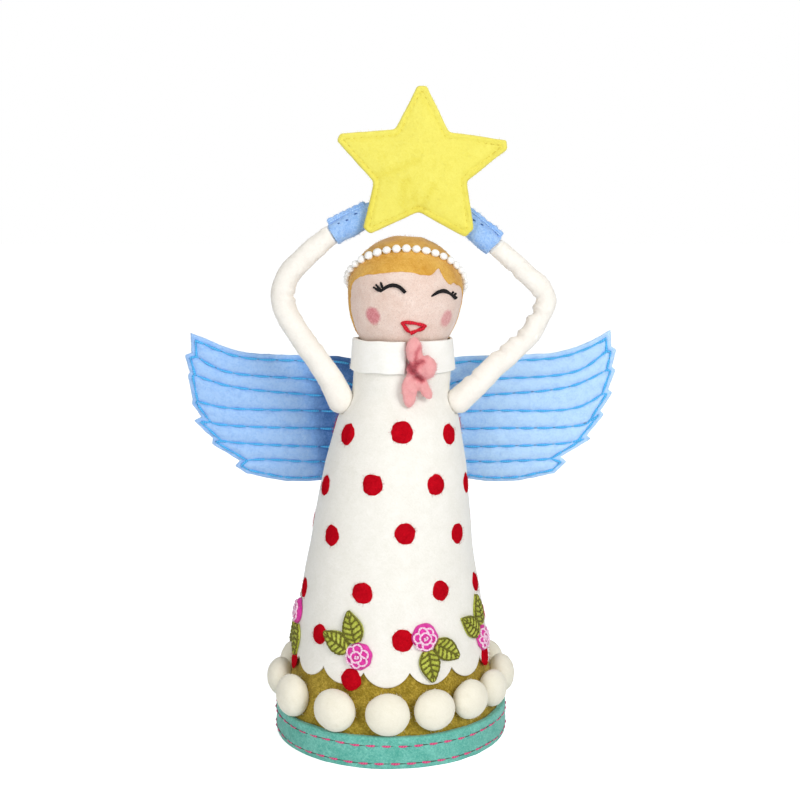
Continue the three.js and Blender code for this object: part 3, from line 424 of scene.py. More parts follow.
def outward(mesh):
    shape = bmesh.new()
    shape.from_mesh(mesh)
    bmesh.ops.remove_doubles(shape, verts=shape.verts, dist=1e-7)
    bmesh.ops.recalc_face_normals(shape, faces=shape.faces)
    shape.to_mesh(mesh)
    shape.free()
    mesh.shade_smooth()


def unit(ways):
    """The same directions, each one unit long."""
    return ways / np.linalg.norm(ways, axis=-1, keepdims=True)


def bell(values):
    """1 at zero, falling smoothly to nothing on both sides."""
    return np.exp(-(values**2))


def turns_round(count):
    return np.linspace(0, FULL_TURN, count, endpoint=False)


def store(mesh, name, values):
    """Keeps a number or a direction for each point of a mesh, by name."""
    values = np.asarray(values, float)
    kind, field = ("FLOAT", "value") if values.ndim == 1 else ("FLOAT_VECTOR", "vector")
    mesh.attributes.new(name, kind, "POINT").data.foreach_set(field, values.ravel())


def points_of(piece):
    """The points of a piece in millimetres."""
    points = np.zeros(len(piece.data.vertices) * 3)
    piece.data.vertices.foreach_get("co", points)
    return points.reshape(-1, 3) / MM


def normals_of(piece):
    return np.array([vertex.normal for vertex in piece.data.vertices])


def put_points(piece, points):
    piece.data.vertices.foreach_set("co", (np.asarray(points) * MM).ravel())
    piece.data.update()


homes = {}


def settle(piece, body, slot, replaces=()):
    """Puts a finished piece on its body and hides the solids that it stands for; the body and slot name are
    kept in homes for its fibres.
    """
    homes[piece.name] = (body, slot)
    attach(piece, body)
    if replaces:
        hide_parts(*replaces)
    print(f"{piece.name}: {len(piece.data.polygons)} faces on {body}")
    return piece


def finished(name, mesh, finish):
    """An object of a mesh that has one finish all over."""
    mesh.name = name
    mesh.materials.clear()
    mesh.materials.append(finish)
    mesh.polygons.foreach_set("material_index", np.zeros(len(mesh.polygons), np.int32))
    return new_object(name, mesh)


def shape_object(name, shape, finish):
    """An object from (points in millimetres, faces)."""
    points, faces = shape
    mesh = bpy.data.meshes.new(name)
    mesh.from_pydata((np.asarray(points) * MM).tolist(), [], faces)
    outward(mesh)
    return finished(name, mesh, finish)


def hand_worked(piece, amount, size, seed):
    """Moves the surface in and out by up to amount millimetres, in soft lumps of a size in millimetres."""
    mesh = piece.data
    shift = Vector((seed * 7.3, seed * 3.1, seed * 5.7))
    moved = []
    for vertex in mesh.vertices:
        lump = noise.noise(vertex.co / (size * MM) + shift)
        moved.append(vertex.co + vertex.normal * (lump * amount * MM))
    mesh.vertices.foreach_set("co", [x for co in moved for x in co])
    mesh.update()


def wander(turns, scale, layer):
    """A smooth random number from -1 to 1 for each turn round a closed ring."""
    return np.array([noise.noise(Vector((math.sin(t) * scale, math.cos(t) * scale, layer))) for t in turns])


def felt_piece(name, shape, finish, worked, body, slot, nodes):
    """A piece of a shape and a finish, made a little uneven and put on its body."""
    made = shape_object(name, shape, finish)
    hand_worked(made, *worked)
    return settle(made, body, slot, nodes)


print("mesh helpers are ready")

# %% [markdown]
# ## Stitches with Geometry Nodes
# A line of stitches is one rule repeated along a path: the thread comes up, lies on the felt, and goes
# down again. The tree turns a path into a curve, works out where in its stitch each point is, lifts or
# sinks the thread there, and sweeps a small ring along it. Rows of one thread share one modifier, with
# its own pitch and thickness.


# %% Stitch tree
PATH_STEP = 0.8
RISE_POWER = 0.45
STITCH_LIFT = 0.28
END_THICKNESS = 0.4
THREAD_SIDES = 6
THREAD_GAP = 0.12


def node_group(name, floats, whole=()):
    """An empty Geometry Nodes group with a material input, and the socket of each named input."""
    group = bpy.data.node_groups.new(name, "GeometryNodeTree")
    group.interface.new_socket("Geometry", in_out="OUTPUT", socket_type="NodeSocketGeometry")
    kinds = {"Geometry": "Geometry", "Material": "Material"}
    kinds.update({**dict.fromkeys(floats, "Float"), **dict.fromkeys(whole, "Int")})
    for label, kind in kinds.items():
        group.interface.new_socket(label, in_out="INPUT", socket_type="NodeSocket" + kind)
    entry = group.nodes.new("NodeGroupInput")
    tree = Tree(group)
    return group, tree, {s.name: Socket(tree, s) for s in entry.outputs if s.name}


def named(tree, name, kind="FLOAT_VECTOR"):
    """Reads a value that the points carry."""
    return tree.node("GeometryNodeInputNamedAttribute", {0: name}, data_type=kind)


def keep(tree, geometry, name, values, kind="FLOAT"):
    """Writes a value on the points."""
    sockets = {0: geometry, 2: name, 3: values}
    return tree.node("GeometryNodeStoreNamedAttribute", sockets, data_type=kind, domain="POINT")


def shifted(tree, geometry, way, distance):
    """Moves every point a distance along its way."""
    shift = tree.node("ShaderNodeVectorMath", {0: way, 3: distance}, operation="SCALE")
    return tree.node("GeometryNodeSetPosition", {0: geometry, 3: shift})


def instances(tree, points, shape, turn, size):
    return tree.node("GeometryNodeInstanceOnPoints", {0: points, 2: shape, 5: turn, 6: size})


def close_group(tree, geometry, material):
    """Ends a tree in real geometry with a material."""
    real = tree.node("GeometryNodeRealizeInstances", {0: geometry})
    smooth = tree.node("GeometryNodeSetShadeSmooth", {0: real})
    painted = tree.node("GeometryNodeSetMaterial", {0: smooth, 2: material})
    tree.node("NodeGroupOutput", {0: painted})


def stitch_group():
    group, tree, value = node_group("stitch_line", ("Pitch", "Shown", "Thickness", "Sink"))
    curve = tree.node("GeometryNodeMeshToCurve", {0: value["Geometry"]})
    step = value["Thickness"] * PATH_STEP
    curve = tree.node("GeometryNodeResampleCurve", {0: curve, 3: step}, mode="LENGTH")
    along = tree.node("GeometryNodeSplineParameter", output=1)
    curve = keep(tree, curve, "along", along)
    phase = (along / value["Pitch"]).math("FRACT")
    share = (phase / value["Shown"]).math("MINIMUM", 1.0)
    rise = (share * math.pi).math("SINE").math("MAXIMUM", 0.0) ** RISE_POWER
    lifted = rise * (value["Thickness"] * STITCH_LIFT + value["Sink"]) - value["Sink"]
    curve = shifted(tree, curve, named(tree, "out"), lifted)
    ring = tree.node("GeometryNodeCurvePrimitiveCircle", {0: THREAD_SIDES, 4: 1.0})
    ring = keep(tree, ring, "ply", tree.node("GeometryNodeInputPosition"), "FLOAT_VECTOR")
    thick = value["Thickness"] * 0.5 * (rise * (1 - END_THICKNESS) + END_THICKNESS)
    swept = tree.node("GeometryNodeCurveToMesh", {0: curve, 1: ring, "Scale": thick, "Fill Caps": True})
    close_group(tree, swept, value["Material"])
    return group


def evaluated_mesh(source):
    return bpy.data.meshes.new_from_object(source.evaluated_get(bpy.context.evaluated_depsgraph_get()))


def run_group(source, group, values, name, finish):
    """Runs a tree on an object and keeps the result as a plain mesh in a new object."""
    values = {**values, "Material": finish}
    modifier = source.modifiers.new(group.name, "NODES")
    modifier.node_group = group
    for item in group.interface.items_tree:
        if item.in_out == "INPUT" and item.name in values:
            modifier[item.identifier] = values[item.name]
    mesh = evaluated_mesh(source)
    source.modifiers.remove(modifier)
    return finished(name, mesh, finish)


def from_guide(name, points, edges, group, values, finish, **stored):
    """Runs a tree on points and edges that carry named values, and keeps only what it makes."""
    mesh = bpy.data.meshes.new("guide")
    mesh.from_pydata((np.asarray(points) * MM).tolist(), edges, [])
    for label, numbers in stored.items():
        store(mesh, label, numbers)
    source = new_object("guide", mesh)
    made = run_group(source, group, values, name, finish)
    bpy.data.objects.remove(source)
    return made


stitch_line = stitch_group()


def stitches(name, paths, outs, finish, sizes, body, slot):
    """Rows of stitches, one for each path: their pitch, the share shown, the thickness and the sink."""
    ways = np.vstack([np.broadcast_to(out, np.shape(path)) for path, out in zip(paths, outs)])
    firsts = np.cumsum([0, *map(len, paths)]).tolist()
    edges = [(i, i + 1) for first, after in zip(firsts, firsts[1:]) for i in range(first, after - 1)]
    pitch, shown, thickness, sink = sizes
    values = {"Pitch": pitch * MM, "Shown": shown, "Thickness": thickness * MM, "Sink": sink * MM}
    made = from_guide(name, np.vstack(paths), edges, stitch_line, values, finish, out=ways)
    settle(made, body, slot)


def body_stitches(name, lines, finish, sizes, slot):
    """Rows of stitches that lie on the body's felt."""
    stitches(name, lines, [way_out(line) for line in lines], finish, sizes, "angel", slot)


print("stitch tree has", len(stitch_line.nodes), "nodes")

# %% [markdown]
# ## Loose fibres with Geometry Nodes
# What tells felt from plastic is the halo of loose fibres. The tree scatters points over a piece and puts
# one short bent fibre on each, leaning its own way. A fibre has few faces, because there are thousands.


# %% Fuzz tree
FIBRE_BEND = {0: 3, 1: (0, 0, -0.1), 2: (0, 0, 0.35), 3: (0.2, 0, 0.7), 4: (0.5, 0.1, 0.9)}
FIBRE_SIZES = (0.5, 1.2)


def fuzz_group():
    group, tree, value = node_group("loose_fibres", ("Density", "Length", "Thickness", "Lean"), ("Seed",))
    fibre = tree.node("GeometryNodeCurvePrimitiveBezierSegment", FIBRE_BEND)
    ring = tree.node("GeometryNodeCurvePrimitiveCircle", {0: 3, 4: 1.0})
    fineness = value["Thickness"] / value["Length"] * 0.5
    fibre = tree.node("GeometryNodeCurveToMesh", {0: fibre, 1: ring, "Scale": fineness})
    density = value["Density"] * (1.0 - named(tree, "bare", "FLOAT"))
    spread = {0: value["Geometry"], "Density": density, "Seed": value["Seed"]}
    scattered = tree.node("GeometryNodeDistributePointsOnFaces", spread)
    turned = Socket(tree, scattered.socket.node.outputs[2])
    range_of_turns = {0: (-1, -1, -math.pi), 1: (1, 1, math.pi), 8: value["Seed"]}
    spin = tree.node("FunctionNodeRandomValue", range_of_turns, data_type="FLOAT_VECTOR")
    spin = tree.vector("MULTIPLY", spin, tree.xyz(value["Lean"], value["Lean"], 1.0))
    by = tree.node("FunctionNodeEulerToRotation", {0: spin})
    way = tree.node("FunctionNodeRotateRotation", {0: turned, 1: by}, rotation_space="LOCAL")
    sizes = {2: FIBRE_SIZES[0], 3: FIBRE_SIZES[1], 8: value["Seed"]}
    size = tree.node("FunctionNodeRandomValue", sizes, output=1) * value["Length"]
    placed = instances(tree, scattered, fibre, way, tree.xyz(size, size, size))
    close_group(tree, placed, value["Material"])
    return group


loose_fibres = fuzz_group()


def fuzz(piece, per_square_mm, length, seed, thickness=0.07, lean=1.1):
    """Short fibres over a piece, in its own finish and on its own body. Sizes are in millimetres."""
    sizes = {"Density": per_square_mm / MM**2, "Length": length * MM, "Thickness": thickness * MM}
    values = {**sizes, "Lean": lean, "Seed": seed}
    made = run_group(piece, loose_fibres, values, piece.name + "_fuzz", piece.data.materials[0])
    settle(made, *homes[piece.name])


print("fibre tree has", len(loose_fibres.nodes), "nodes")

# %% [markdown]
# ## The body's line
# The cone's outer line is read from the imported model's drawing: radii at heights, from the hem to the
# neck. The body leans a little to the viewer's right above the waist. Every piece on the body, such as a
# dot, a leaf or a stitch, is placed by its turn round the cone and its height, so all of them hug the
# felt.

# %% The body's line
BODY_LINE = [
    (30.0, 48.9), (45.9, 46.5), (69.9, 42.6), (92.1, 38.7), (116.1, 35.6), (130.0, 33.4),
    (143.0, 30.6), (152.7, 28.4), (157.5, 25.8), (160.5, 24.0), (164.4, 22.8), (172.4, 22.9),
    (186.0, 21.8),
]
LEAN = 6.0
LEAN_START = 80.0
LEAN_SPAN = 100.0
LEAN_TOP = 176.0
LEAN_POWER = 1.4
SOFTENING = [(-2.4, 0.25), (0.0, 0.5), (2.4, 0.25)]


def radius_at(line, height):
    """The radius at a height on a drawn line of heights and radii."""
    return np.interp(height, *zip(*line))


def body_radius(height):
    """Radius of the felt at a height, with the corners of the drawn line softened."""
    return sum(share * radius_at(BODY_LINE, np.asarray(height) + step) for step, share in SOFTENING)


def lean(height):
    rise = np.clip(np.minimum(height, LEAN_TOP) - LEAN_START, 0, None) / LEAN_SPAN
    return LEAN * rise**LEAN_POWER


def around(turn, radius, height):
    """The point at a turn in radians, a radius and a height round the leaning body."""
    turn, radius, height = np.broadcast_arrays(*(np.asarray(v, float) for v in (turn, radius, height)))
    return np.stack([lean(height) + radius * np.sin(turn), -radius * np.cos(turn), height], -1)


def over_body(turn_degrees, height, across, up, out):
    """Points over the felt: across and up along it from a place, and out from it."""
    level = height + np.asarray(up, float)
    radius = body_radius(level)
    return around(math.radians(turn_degrees) + np.asarray(across) / radius, radius + out, level)


def way_out(points):
    """The way straight out of the body at some points, one unit long."""
    points = np.asarray(points, float)
    x = points[:, 0] - lean(points[:, 2])
    ways = np.stack([x, points[:, 1], np.zeros(len(points))], 1)
    return unit(ways)


def band(section, columns, start=0.0, sweep=FULL_TURN):
    """A ring round the body, with one section or with one that changes with the turn."""
    whole = sweep == FULL_TURN
    turns = [start + sweep * i / columns for i in range(columns + (0 if whole else 1))]
    sections = [section(turn) if callable(section) else section for turn in turns]
    rings = [around(turn, *np.array(cut).T) for turn, cut in zip(turns, sections)]
    return skin(rings, whole)


print("body radius at the waist:", round(float(body_radius(110)), 1), "mm")

# %% [markdown]
# ## The body
# The body is one felt cone with a scalloped hem. A ring with a closed section makes it: up the outside,
# over the neck's rim, down the inside, and round the hem's edge, which is as thick as the felt. The two
# places where the arms sit are pressed in a little.

# %% Body
SCALLOPS = 14
SCALLOP_TURN = math.radians(-2)
SCALLOP_LOW = 35.2
SCALLOP_DEPTH = 13.3
SCALLOP_ROUND = 0.85
COLUMNS_PER_SCALLOP = 18
HEM_FELT = 1.5
LAP_TOP = 46.3
NECK_WALL = 2.9
NECK_ROUND = 1.2
INNER_HEIGHTS = (184, 176, 170, 165, 158, 150, 144, 138.3, 110, 80, 60)
BODY_HEIGHT = 186.0
HEM_BLEND = 14.0
SHOULDER_HEIGHT = 160.0
SHOULDER_SPAN = 27.6
SHOULDER_BACK = -5.0
ARM_RADIUS = 6.2
SEAT_ROOM = 0.35
LINING = [(1, 49.3), (138.3, 27.8), (150.0, 22.6), (165.0, 19.3), (186.0, 18.9)]


def scallop_height(turn):
    """Height of the hem's edge at a turn: a row of round lobes."""
    pitch = FULL_TURN / SCALLOPS
    share = ((turn - SCALLOP_TURN + pitch / 2) % pitch) / pitch
    across = SCALLOP_ROUND * (2 * share - 1)
    return SCALLOP_LOW + SCALLOP_DEPTH * (1 - math.sqrt(1 - across**2))


def body_section(turn):
    low = scallop_height(turn)
    edge = HEM_FELT / 2
    outer = []
    for level in np.linspace(SCALLOP_LOW + edge, BODY_HEIGHT - NECK_ROUND, 96):
        fade = max(0.0, 1 - (level - SCALLOP_LOW) / HEM_BLEND)
        z = level + (low - SCALLOP_LOW) * fade * fade * (3 - 2 * fade)
        outer.append((float(body_radius(z)), z))
    rim_middle = body_radius(BODY_HEIGHT) - NECK_WALL / 2
    rim = [
        (rim_middle + NECK_WALL / 2 * math.cos(a), BODY_HEIGHT - NECK_ROUND + NECK_ROUND * math.sin(a))
        for a in np.linspace(0.35, math.pi - 0.35, 5)
    ]
    inner = [(radius_at(LINING, z), z) for z in (*INNER_HEIGHTS, LAP_TOP + 0.3)]
    hem_radius = body_radius(low)
    lap = [(body_radius(LAP_TOP) - HEM_FELT, LAP_TOP), (hem_radius - HEM_FELT, low + edge)]
    hem = [
        (hem_radius - edge - edge * math.cos(a), low + edge - edge * math.sin(a))
        for a in np.linspace(0.5, math.pi - 0.5, 4)
    ]
    return outer + rim + inner + lap + hem


def shoulder_place(sign):
    middle = float(lean(SHOULDER_HEIGHT))
    return np.array([middle + sign * SHOULDER_SPAN, SHOULDER_BACK, SHOULDER_HEIGHT])


def press_seats(shape):
    """Presses the felt in round each arm's end."""
    points, faces = shape
    for sign in (-1, 1):
        place = shoulder_place(sign)
        gap = points - place
        distance = np.linalg.norm(gap, axis=1)
        seat = ARM_RADIUS + SEAT_ROOM
        inside = (distance < seat) & (np.hypot(points[:, 0] - lean(points[:, 2]), points[:, 1]) > 20)
        side = points[inside] - place
        flat = np.hypot(side[:, 1], side[:, 2])
        reach = np.sqrt(np.clip(seat**2 - flat**2, 0, None))
        points[inside, 0] = place[0] - sign * reach
    return points, faces


body_shape = press_seats(band(body_section, SCALLOPS * COLUMNS_PER_SCALLOP, SCALLOP_TURN))
worked = (0.35, 22, 1)
felt_body = felt_piece("body_felt", body_shape, ivory_felt, worked, "angel", "ivory_felt", ["felt_body"])

# %% [markdown]
# ## Olive band and teal foot
# Under the scallops a mottled olive felt closes the cone, and a teal band runs round the foot. Both are
# rings of felt with rounded edges. The teal band is sewn on with two rows of pink running stitch, and a
# thin dark thread laid just under each row shows between the dashes as painted shade where the stitches
# go into the felt.

# %% Olive band and foot band
OLIVE_FELT = 2.2
OLIVE_TOP = 46.0
OLIVE_LOW = 0.6
OLIVE_FOOT = 52.2
UNDER_BODY = 1.8
OLIVE_LINE = [
    (OLIVE_LOW, OLIVE_FOOT), (14.7, OLIVE_FOOT), (24.0, 49.3), (36.0, body_radius(36) - UNDER_BODY),
    (OLIVE_TOP, body_radius(OLIVE_TOP) - UNDER_BODY),
]
FOOT_RADIUS = 55.5
FOOT_FELT = 3.0
FOOT_HEIGHT = 14.7
FOOT_ROUND = 0.9
FOOT_WAVE = 0.7
FOOT_WAVE_SCALE = 55
FOOT_WAVE_FROM = 0.4


def olive_section():
    heights = np.linspace(OLIVE_LOW + 0.3, OLIVE_TOP - 0.6, 40)
    outer = [(radius_at(OLIVE_LINE, z), z) for z in heights]
    inner = [(radius_at(OLIVE_LINE, z) - OLIVE_FELT, z) for z in heights[::-4]]
    top = [(radius_at(OLIVE_LINE, OLIVE_TOP) - inset, OLIVE_TOP) for inset in (0.6, 1.6)]
    foot = [(OLIVE_FOOT - inset, OLIVE_LOW) for inset in (OLIVE_FELT - 0.5, 0.5)]
    return outer + top + inner + foot


def rounded_bar(inner_radius, outer_radius, low, high, round_by, steps=5):
    """The section of a felt strip on edge: a bar with rounded corners."""
    corners = [
        (outer_radius - round_by, low + round_by, -90),
        (outer_radius - round_by, high - round_by, 0),
        (inner_radius + round_by, high - round_by, 90),
        (inner_radius + round_by, low + round_by, 180),
    ]
    section = []
    for radius, z, first in corners:
        for angle in np.radians(np.linspace(first, first + 90, steps)):
            section.append((radius + round_by * math.cos(angle), z + round_by * math.sin(angle)))
    return section


def filled(section, longest=1.6):
    """A section with points added where they are far apart."""
    result = []
    for a, b in zip(section, section[1:] + section[:1]):
        steps = max(1, math.ceil(math.dist(a, b) / longest))
        result.extend(tuple(np.add(a, np.subtract(b, a) * i / steps)) for i in range(steps))
    return result


olive_ring = band(olive_section(), 168, SCALLOP_TURN)
worked, nodes = (0.3, 9, 2), ["olive_band"]
olive_band = felt_piece("olive_band_felt", olive_ring, olive_felt, worked, "angel", "olive_felt", nodes)

foot_section = filled(rounded_bar(FOOT_RADIUS - FOOT_FELT, FOOT_RADIUS, 0.0, FOOT_HEIGHT, FOOT_ROUND))
foot_band = shape_object("foot_band_felt", band(foot_section, 216), teal_felt)
for vertex in foot_band.data.vertices:
    wave = FOOT_WAVE * MM * noise.noise(Vector((vertex.co.x, vertex.co.y, 0)) * FOOT_WAVE_SCALE)
    vertex.co.z += wave * max(0, vertex.co.z / (FOOT_HEIGHT * MM) - FOOT_WAVE_FROM)
hand_worked(foot_band, 0.25, 8, 3)
settle(foot_band, "angel", "teal_felt", ["foot_band"])

# %% Running stitches on the foot
STITCHES_ROUND = 48
STITCH_ROWS = (2.7, 10.9)
ROW_SHIFT = 0.06
ROW_WAVE = 0.5


def foot_path(height, shift=0.0):
    turns = np.linspace(0, FULL_TURN, 361) + shift
    return around(turns, FOOT_RADIUS + 0.05, height + wander(turns, 4, height) * ROW_WAVE)


foot_pitch = FULL_TURN * FOOT_RADIUS / STITCHES_ROUND
rows = [foot_path(height, i * ROW_SHIFT) for i, height in enumerate(STITCH_ROWS)]
under_rows = [row - THREAD_GAP * way_out(row) for row in rows]
body_stitches("foot_stitches", rows, pink_thread, (foot_pitch, 0.68, 1.0, 0.7), "rose_felt")
# A thin dark thread under each row shows in the gaps between the dashes: painted shade where the thread
# goes into the felt.
body_stitches("foot_sewing_thread", under_rows, dark_thread, (foot_pitch, 1.0, 0.45, 0.1), "wire")

# %% [markdown]
# ## Felted balls
# Fourteen wool balls sit in a ring on the olive felt. Each is flattened where it is sewn on, and no two
# are quite alike in size or place. They are one shape repeated on a ring of points, so Geometry Nodes
# place them, turn them to face outwards and give each its own size, and then make them a little uneven.

# %% Ball tree
BALL_SINK = 2.4
BALL_DEPTH_SHARE = 0.7
BALL_UP_SHARE = 0.97
HEM_BALLS = [
    (-1.2, 10.0, 25.0), (21.8, 9.6, 25.8), (43.3, 9.3, 26.6), (64.2, 8.9, 26.4), (89, 9.4, 26.0),
    (114.5, 9.7, 25.4), (140, 9.5, 25.0), (166, 9.9, 25.3), (192, 9.4, 25.0), (217, 9.7, 24.9),
    (244, 9.8, 24.9), (272, 9.3, 24.8), (302, 9.9, 24.8), (332.2, 10.0, 24.8),
]
PRESSED_GAP = 0.05
LUMP_SCALE = 90.0
LUMP_HEIGHT = 1.1


def facing_out(tree):
    """The turn that puts a shape's height up and its front along the stored way out."""
    axes = {"primary_axis": "Y", "secondary_axis": "Z"}
    return tree.node("FunctionNodeAxesToRotation", {0: named(tree, "out"), 1: (0.0, 0.0, 1.0)}, **axes)


def ball_group():
    group, tree, value = node_group("felted_balls", ("Depth", "Rise", "Unevenness"))
    ball = tree.node("GeometryNodeMeshIcoSphere", {0: 1.0, 1: 5})
    radius = named(tree, "radius", "FLOAT")
    scale = tree.xyz(radius, radius * value["Depth"], radius * value["Rise"])
    placed = instances(tree, value["Geometry"], ball, facing_out(tree), scale)
    real = tree.node("GeometryNodeRealizeInstances", {0: placed})
    spot = tree.node("GeometryNodeInputPosition")
    lumps = tree.node("ShaderNodeTexNoise", {"Vector": spot, "Scale": LUMP_SCALE, "Detail": 2.0})
    height = (lumps - 0.5) * value["Unevenness"]
    moved = shifted(tree, real, tree.node("GeometryNodeInputNormal"), height)
    close_group(tree, moved, value["Material"])
    return group


# %% Balls
def at_points(name, points, group, values, finish, **stored):
    """What a tree makes on loose points, each with the way out of the body there."""
    return from_guide(name, points, [], group, values, finish, out=way_out(points), **stored)


ball_turns, ball_radii, ball_heights = np.array(HEM_BALLS).T
ball_ring = radius_at(OLIVE_LINE, 24.0) + BALL_DEPTH_SHARE * ball_radii - BALL_SINK
ball_points = around(np.radians(ball_turns), ball_ring, ball_heights)
ball_values = {"Depth": BALL_DEPTH_SHARE, "Rise": BALL_UP_SHARE, "Unevenness": LUMP_HEIGHT * MM}
stored = {"radius": ball_radii * MM}
hem_balls = at_points("hem_balls", ball_points, ball_group(), ball_values, ball_wool, **stored)
for vertex in hem_balls.data.vertices:
    x, y, z = vertex.co / MM
    radius = math.hypot(x, y)
    nearest = radius_at(OLIVE_LINE, z) + PRESSED_GAP
    if radius < nearest:
        vertex.co.x *= nearest / radius
        vertex.co.y *= nearest / radius
settle(hem_balls, "angel", "ball_wool", [f"felt_ball_{i + 1:02d}" for i in range(len(HEM_BALLS))])

# %% [markdown]
# ## Red dots
# The dots are wool needled straight into the body's felt, so each is a thin, slightly uneven pad with a
# fuzzy edge. They stand in staggered rows of six or seven. Geometry Nodes place one small pad on each
# point and make its edge uneven, and then every point of it is laid over the cone at its own height above
# the felt.

# %% Dot places
DOT_RADIUS = 4.8
DOT_PROUD = 0.75
DOT_SIZES = (0.93, 1.06)
DOT_RAG = 0.42
DOT_RAG_SCALE = 330.0
BARE_FROM = 0.9
DOT_ROWS = [
    (147.5, (-50.7, 3.5, 52.4, 104, 156, 208, 259), (-1.3, 1.0, -1.5)),
    (123.0, (-67.8, -17.1, 33.2, 75.3, 126, 180, 235), (-2.0, 1.9, 1.5, -1.5)),
    (101.5, (-47.3, 9.1, 53.7, 105, 157, 209, 260), (-1.2, 1.9, -1.2)),
    (76.0, (-75.0, -17.8, 33.5, 72.5, 126, 180, 235), (-4.5, 0.7, 0.7, -1.4)),
    (55.0, (-46.3, 7.3, 98, 150, 204, 258), (0.0, 1.2)),
    (38.0, (-73.5, -21.8, 70.0, 126, 182, 235), (-0.5, 0.0, 2.0)),
]


def dot_group():
    group, tree, value = node_group("needled_dots", ("Radius", "Proud"), ("Seed",))
    pad = tree.node("GeometryNodeMeshUVSphere", {0: 36, 1: 14, 2: 1.0})
    flat = tree.xyz(value["Radius"], value["Proud"], value["Radius"])
    pad = tree.node("GeometryNodeTransform", {0: pad, 2: (math.pi / 2, 0.0, 0.0)})
    pad = tree.node("GeometryNodeTransform", {0: pad, 3: flat})
    spot = tree.node("GeometryNodeInputPosition")
    rise = tree.node("ShaderNodeSeparateXYZ", {0: spot}, output=1)
    pad = keep(tree, pad, "proud", rise)
    sizes = {2: DOT_SIZES[0], 3: DOT_SIZES[1], 8: value["Seed"]}
    size = tree.node("FunctionNodeRandomValue", sizes, output=1)
    scale = tree.xyz(size, 1.0, size)
    placed = instances(tree, value["Geometry"], pad, facing_out(tree), scale)
    real = tree.node("GeometryNodeRealizeInstances", {0: placed})
    here = tree.node("GeometryNodeInputPosition")
    grain = {"Vector": here, "Scale": DOT_RAG_SCALE, "Detail": 3.0}
    uneven = tree.node("ShaderNodeTexNoise", grain, output=1)
    centred = tree.vector("SUBTRACT", uneven, (0.5, 0.5, 0.5))
    moved = shifted(tree, real, centred, value["Radius"] * DOT_RAG)
    close_group(tree, moved, value["Material"])
    return group


# %% Dots
dot_points = []
for height, turns, shifts in DOT_ROWS:
    for i, turn in enumerate(turns):
        level = height + (shifts[i] if i < len(shifts) else 0.0)
        dot_points.append(over_body(turn, level, 0.0, 0.0, 0.0))
dot_values = {"Radius": DOT_RADIUS * MM, "Proud": DOT_PROUD * MM, "Seed": 5}
red_dots = at_points("red_dots", np.array(dot_points), dot_group(), dot_values, red_wool)


def lay_over_body(piece):
    """Wraps a piece round the cone, each point at its own stored height above the felt."""
    points = points_of(piece)
    proud = np.zeros(len(points))
    piece.data.attributes["proud"].data.foreach_get("value", proud)
    turns = np.arctan2(points[:, 0] - lean(points[:, 2]), -points[:, 1])
    put_points(piece, around(turns, body_radius(points[:, 2]) + proud / MM, points[:, 2]))
    store(piece.data, "bare", np.clip(proud / MM / BARE_FROM, 0, 1))


lay_over_body(red_dots)
settle(red_dots, "angel", "rose_felt")
fuzz(red_dots, 3.6, 1.3, 6, thickness=0.06, lean=1.35)

# %% [markdown]
# ## Leaf and rose finishes
# The leaves and roses are cut from thin felt and then embroidered. Their felt gets its own two tones, and
# the leaves are mottled more, as hand-dyed felt is.

# %% Leaf and rose felt
leaf_felt = felt("leaf_felt", "#D2D963", "#A1A637", 2.0, 2.4, 0.7, 0.1)
rose_felt = felt("rose_felt", "#F04FB8", "#CC2A8E", 1.4, 2.4, 0.8)
print("sprig finishes are ready")

# %% [markdown]
# ## Rosebuds
# A rosebud is a small felt disc with an uneven edge. Pale thread draws a net of petals on it: a curl in
# the middle, a small heart round it, bowed petal edges outside, and lines between them. The net sits a
# little to one side, so the magenta shows as a rim. The stitches follow the disc's own surface.

# %% Rosebuds
ROSE_RADIUS = 6.1
ROSE_PROUD = 2.1
ROSE_EDGE = 0.3
ROSE_WAVE = 0.55
SPRIGS = [
    {"turn": -78.0, "height": 59.7, "leaves": (-71, -119)},
    {"turn": -17.6, "height": 48.8, "leaves": (107, 156)},
    {"turn": 20.4, "height": 57.2, "leaves": (-34, -83)},
    {"turn": 68.3, "height": 49.3, "leaves": (142, 94)},
    {"turn": 123.0, "height": 56.9, "leaves": (-40, -95)},
    {"turn": 177.7, "height": 49.8, "leaves": (112, 162)},
    {"turn": 232.5, "height": 55.9, "leaves": (20, 75)},
]
PETALS = 6
PETAL_EDGE = 4.1
PETAL_BULGE = 1.15
HEART_RADIUS = 2.3
HEART_SIDES = 4
HEART_BULGE = 0.25
ROSE_OFF_MIDDLE = -0.75
CURL_START = 0.25
CURL_GROWTH = 0.85
CURL_TURN = 7


def rose_height(share):
    """How far a rosebud stands off the felt, from its middle (0) to its edge (1)."""
    return ROSE_EDGE + ROSE_PROUD * np.sqrt(np.clip(1 - np.asarray(share) ** 4, 0, 1))


def rose_disc(sprig, draw):
    waves = [draw.uniform(-0.05, 0.05) for _ in range(7)]
    angles = turns_round(48)
    edge = 1 + sum(wave * np.sin((i + 2) * angles + i) for i, wave in enumerate(waves)) * ROSE_WAVE

    def ring(share, out):
        radius = ROSE_RADIUS * share * edge
        place = (sprig["turn"], sprig["height"], radius * np.cos(angles), radius * np.sin(angles))
        return over_body(*place, out)

    shares = np.linspace(0.12, 0.995, 12)
    rings = [ring(share, 0.1) for share in shares[::3]]
    rings += [ring(1.0, 0.35)]
    rings += [ring(share, rose_height(share)) for share in shares[::-1]]
    return skin(rings)


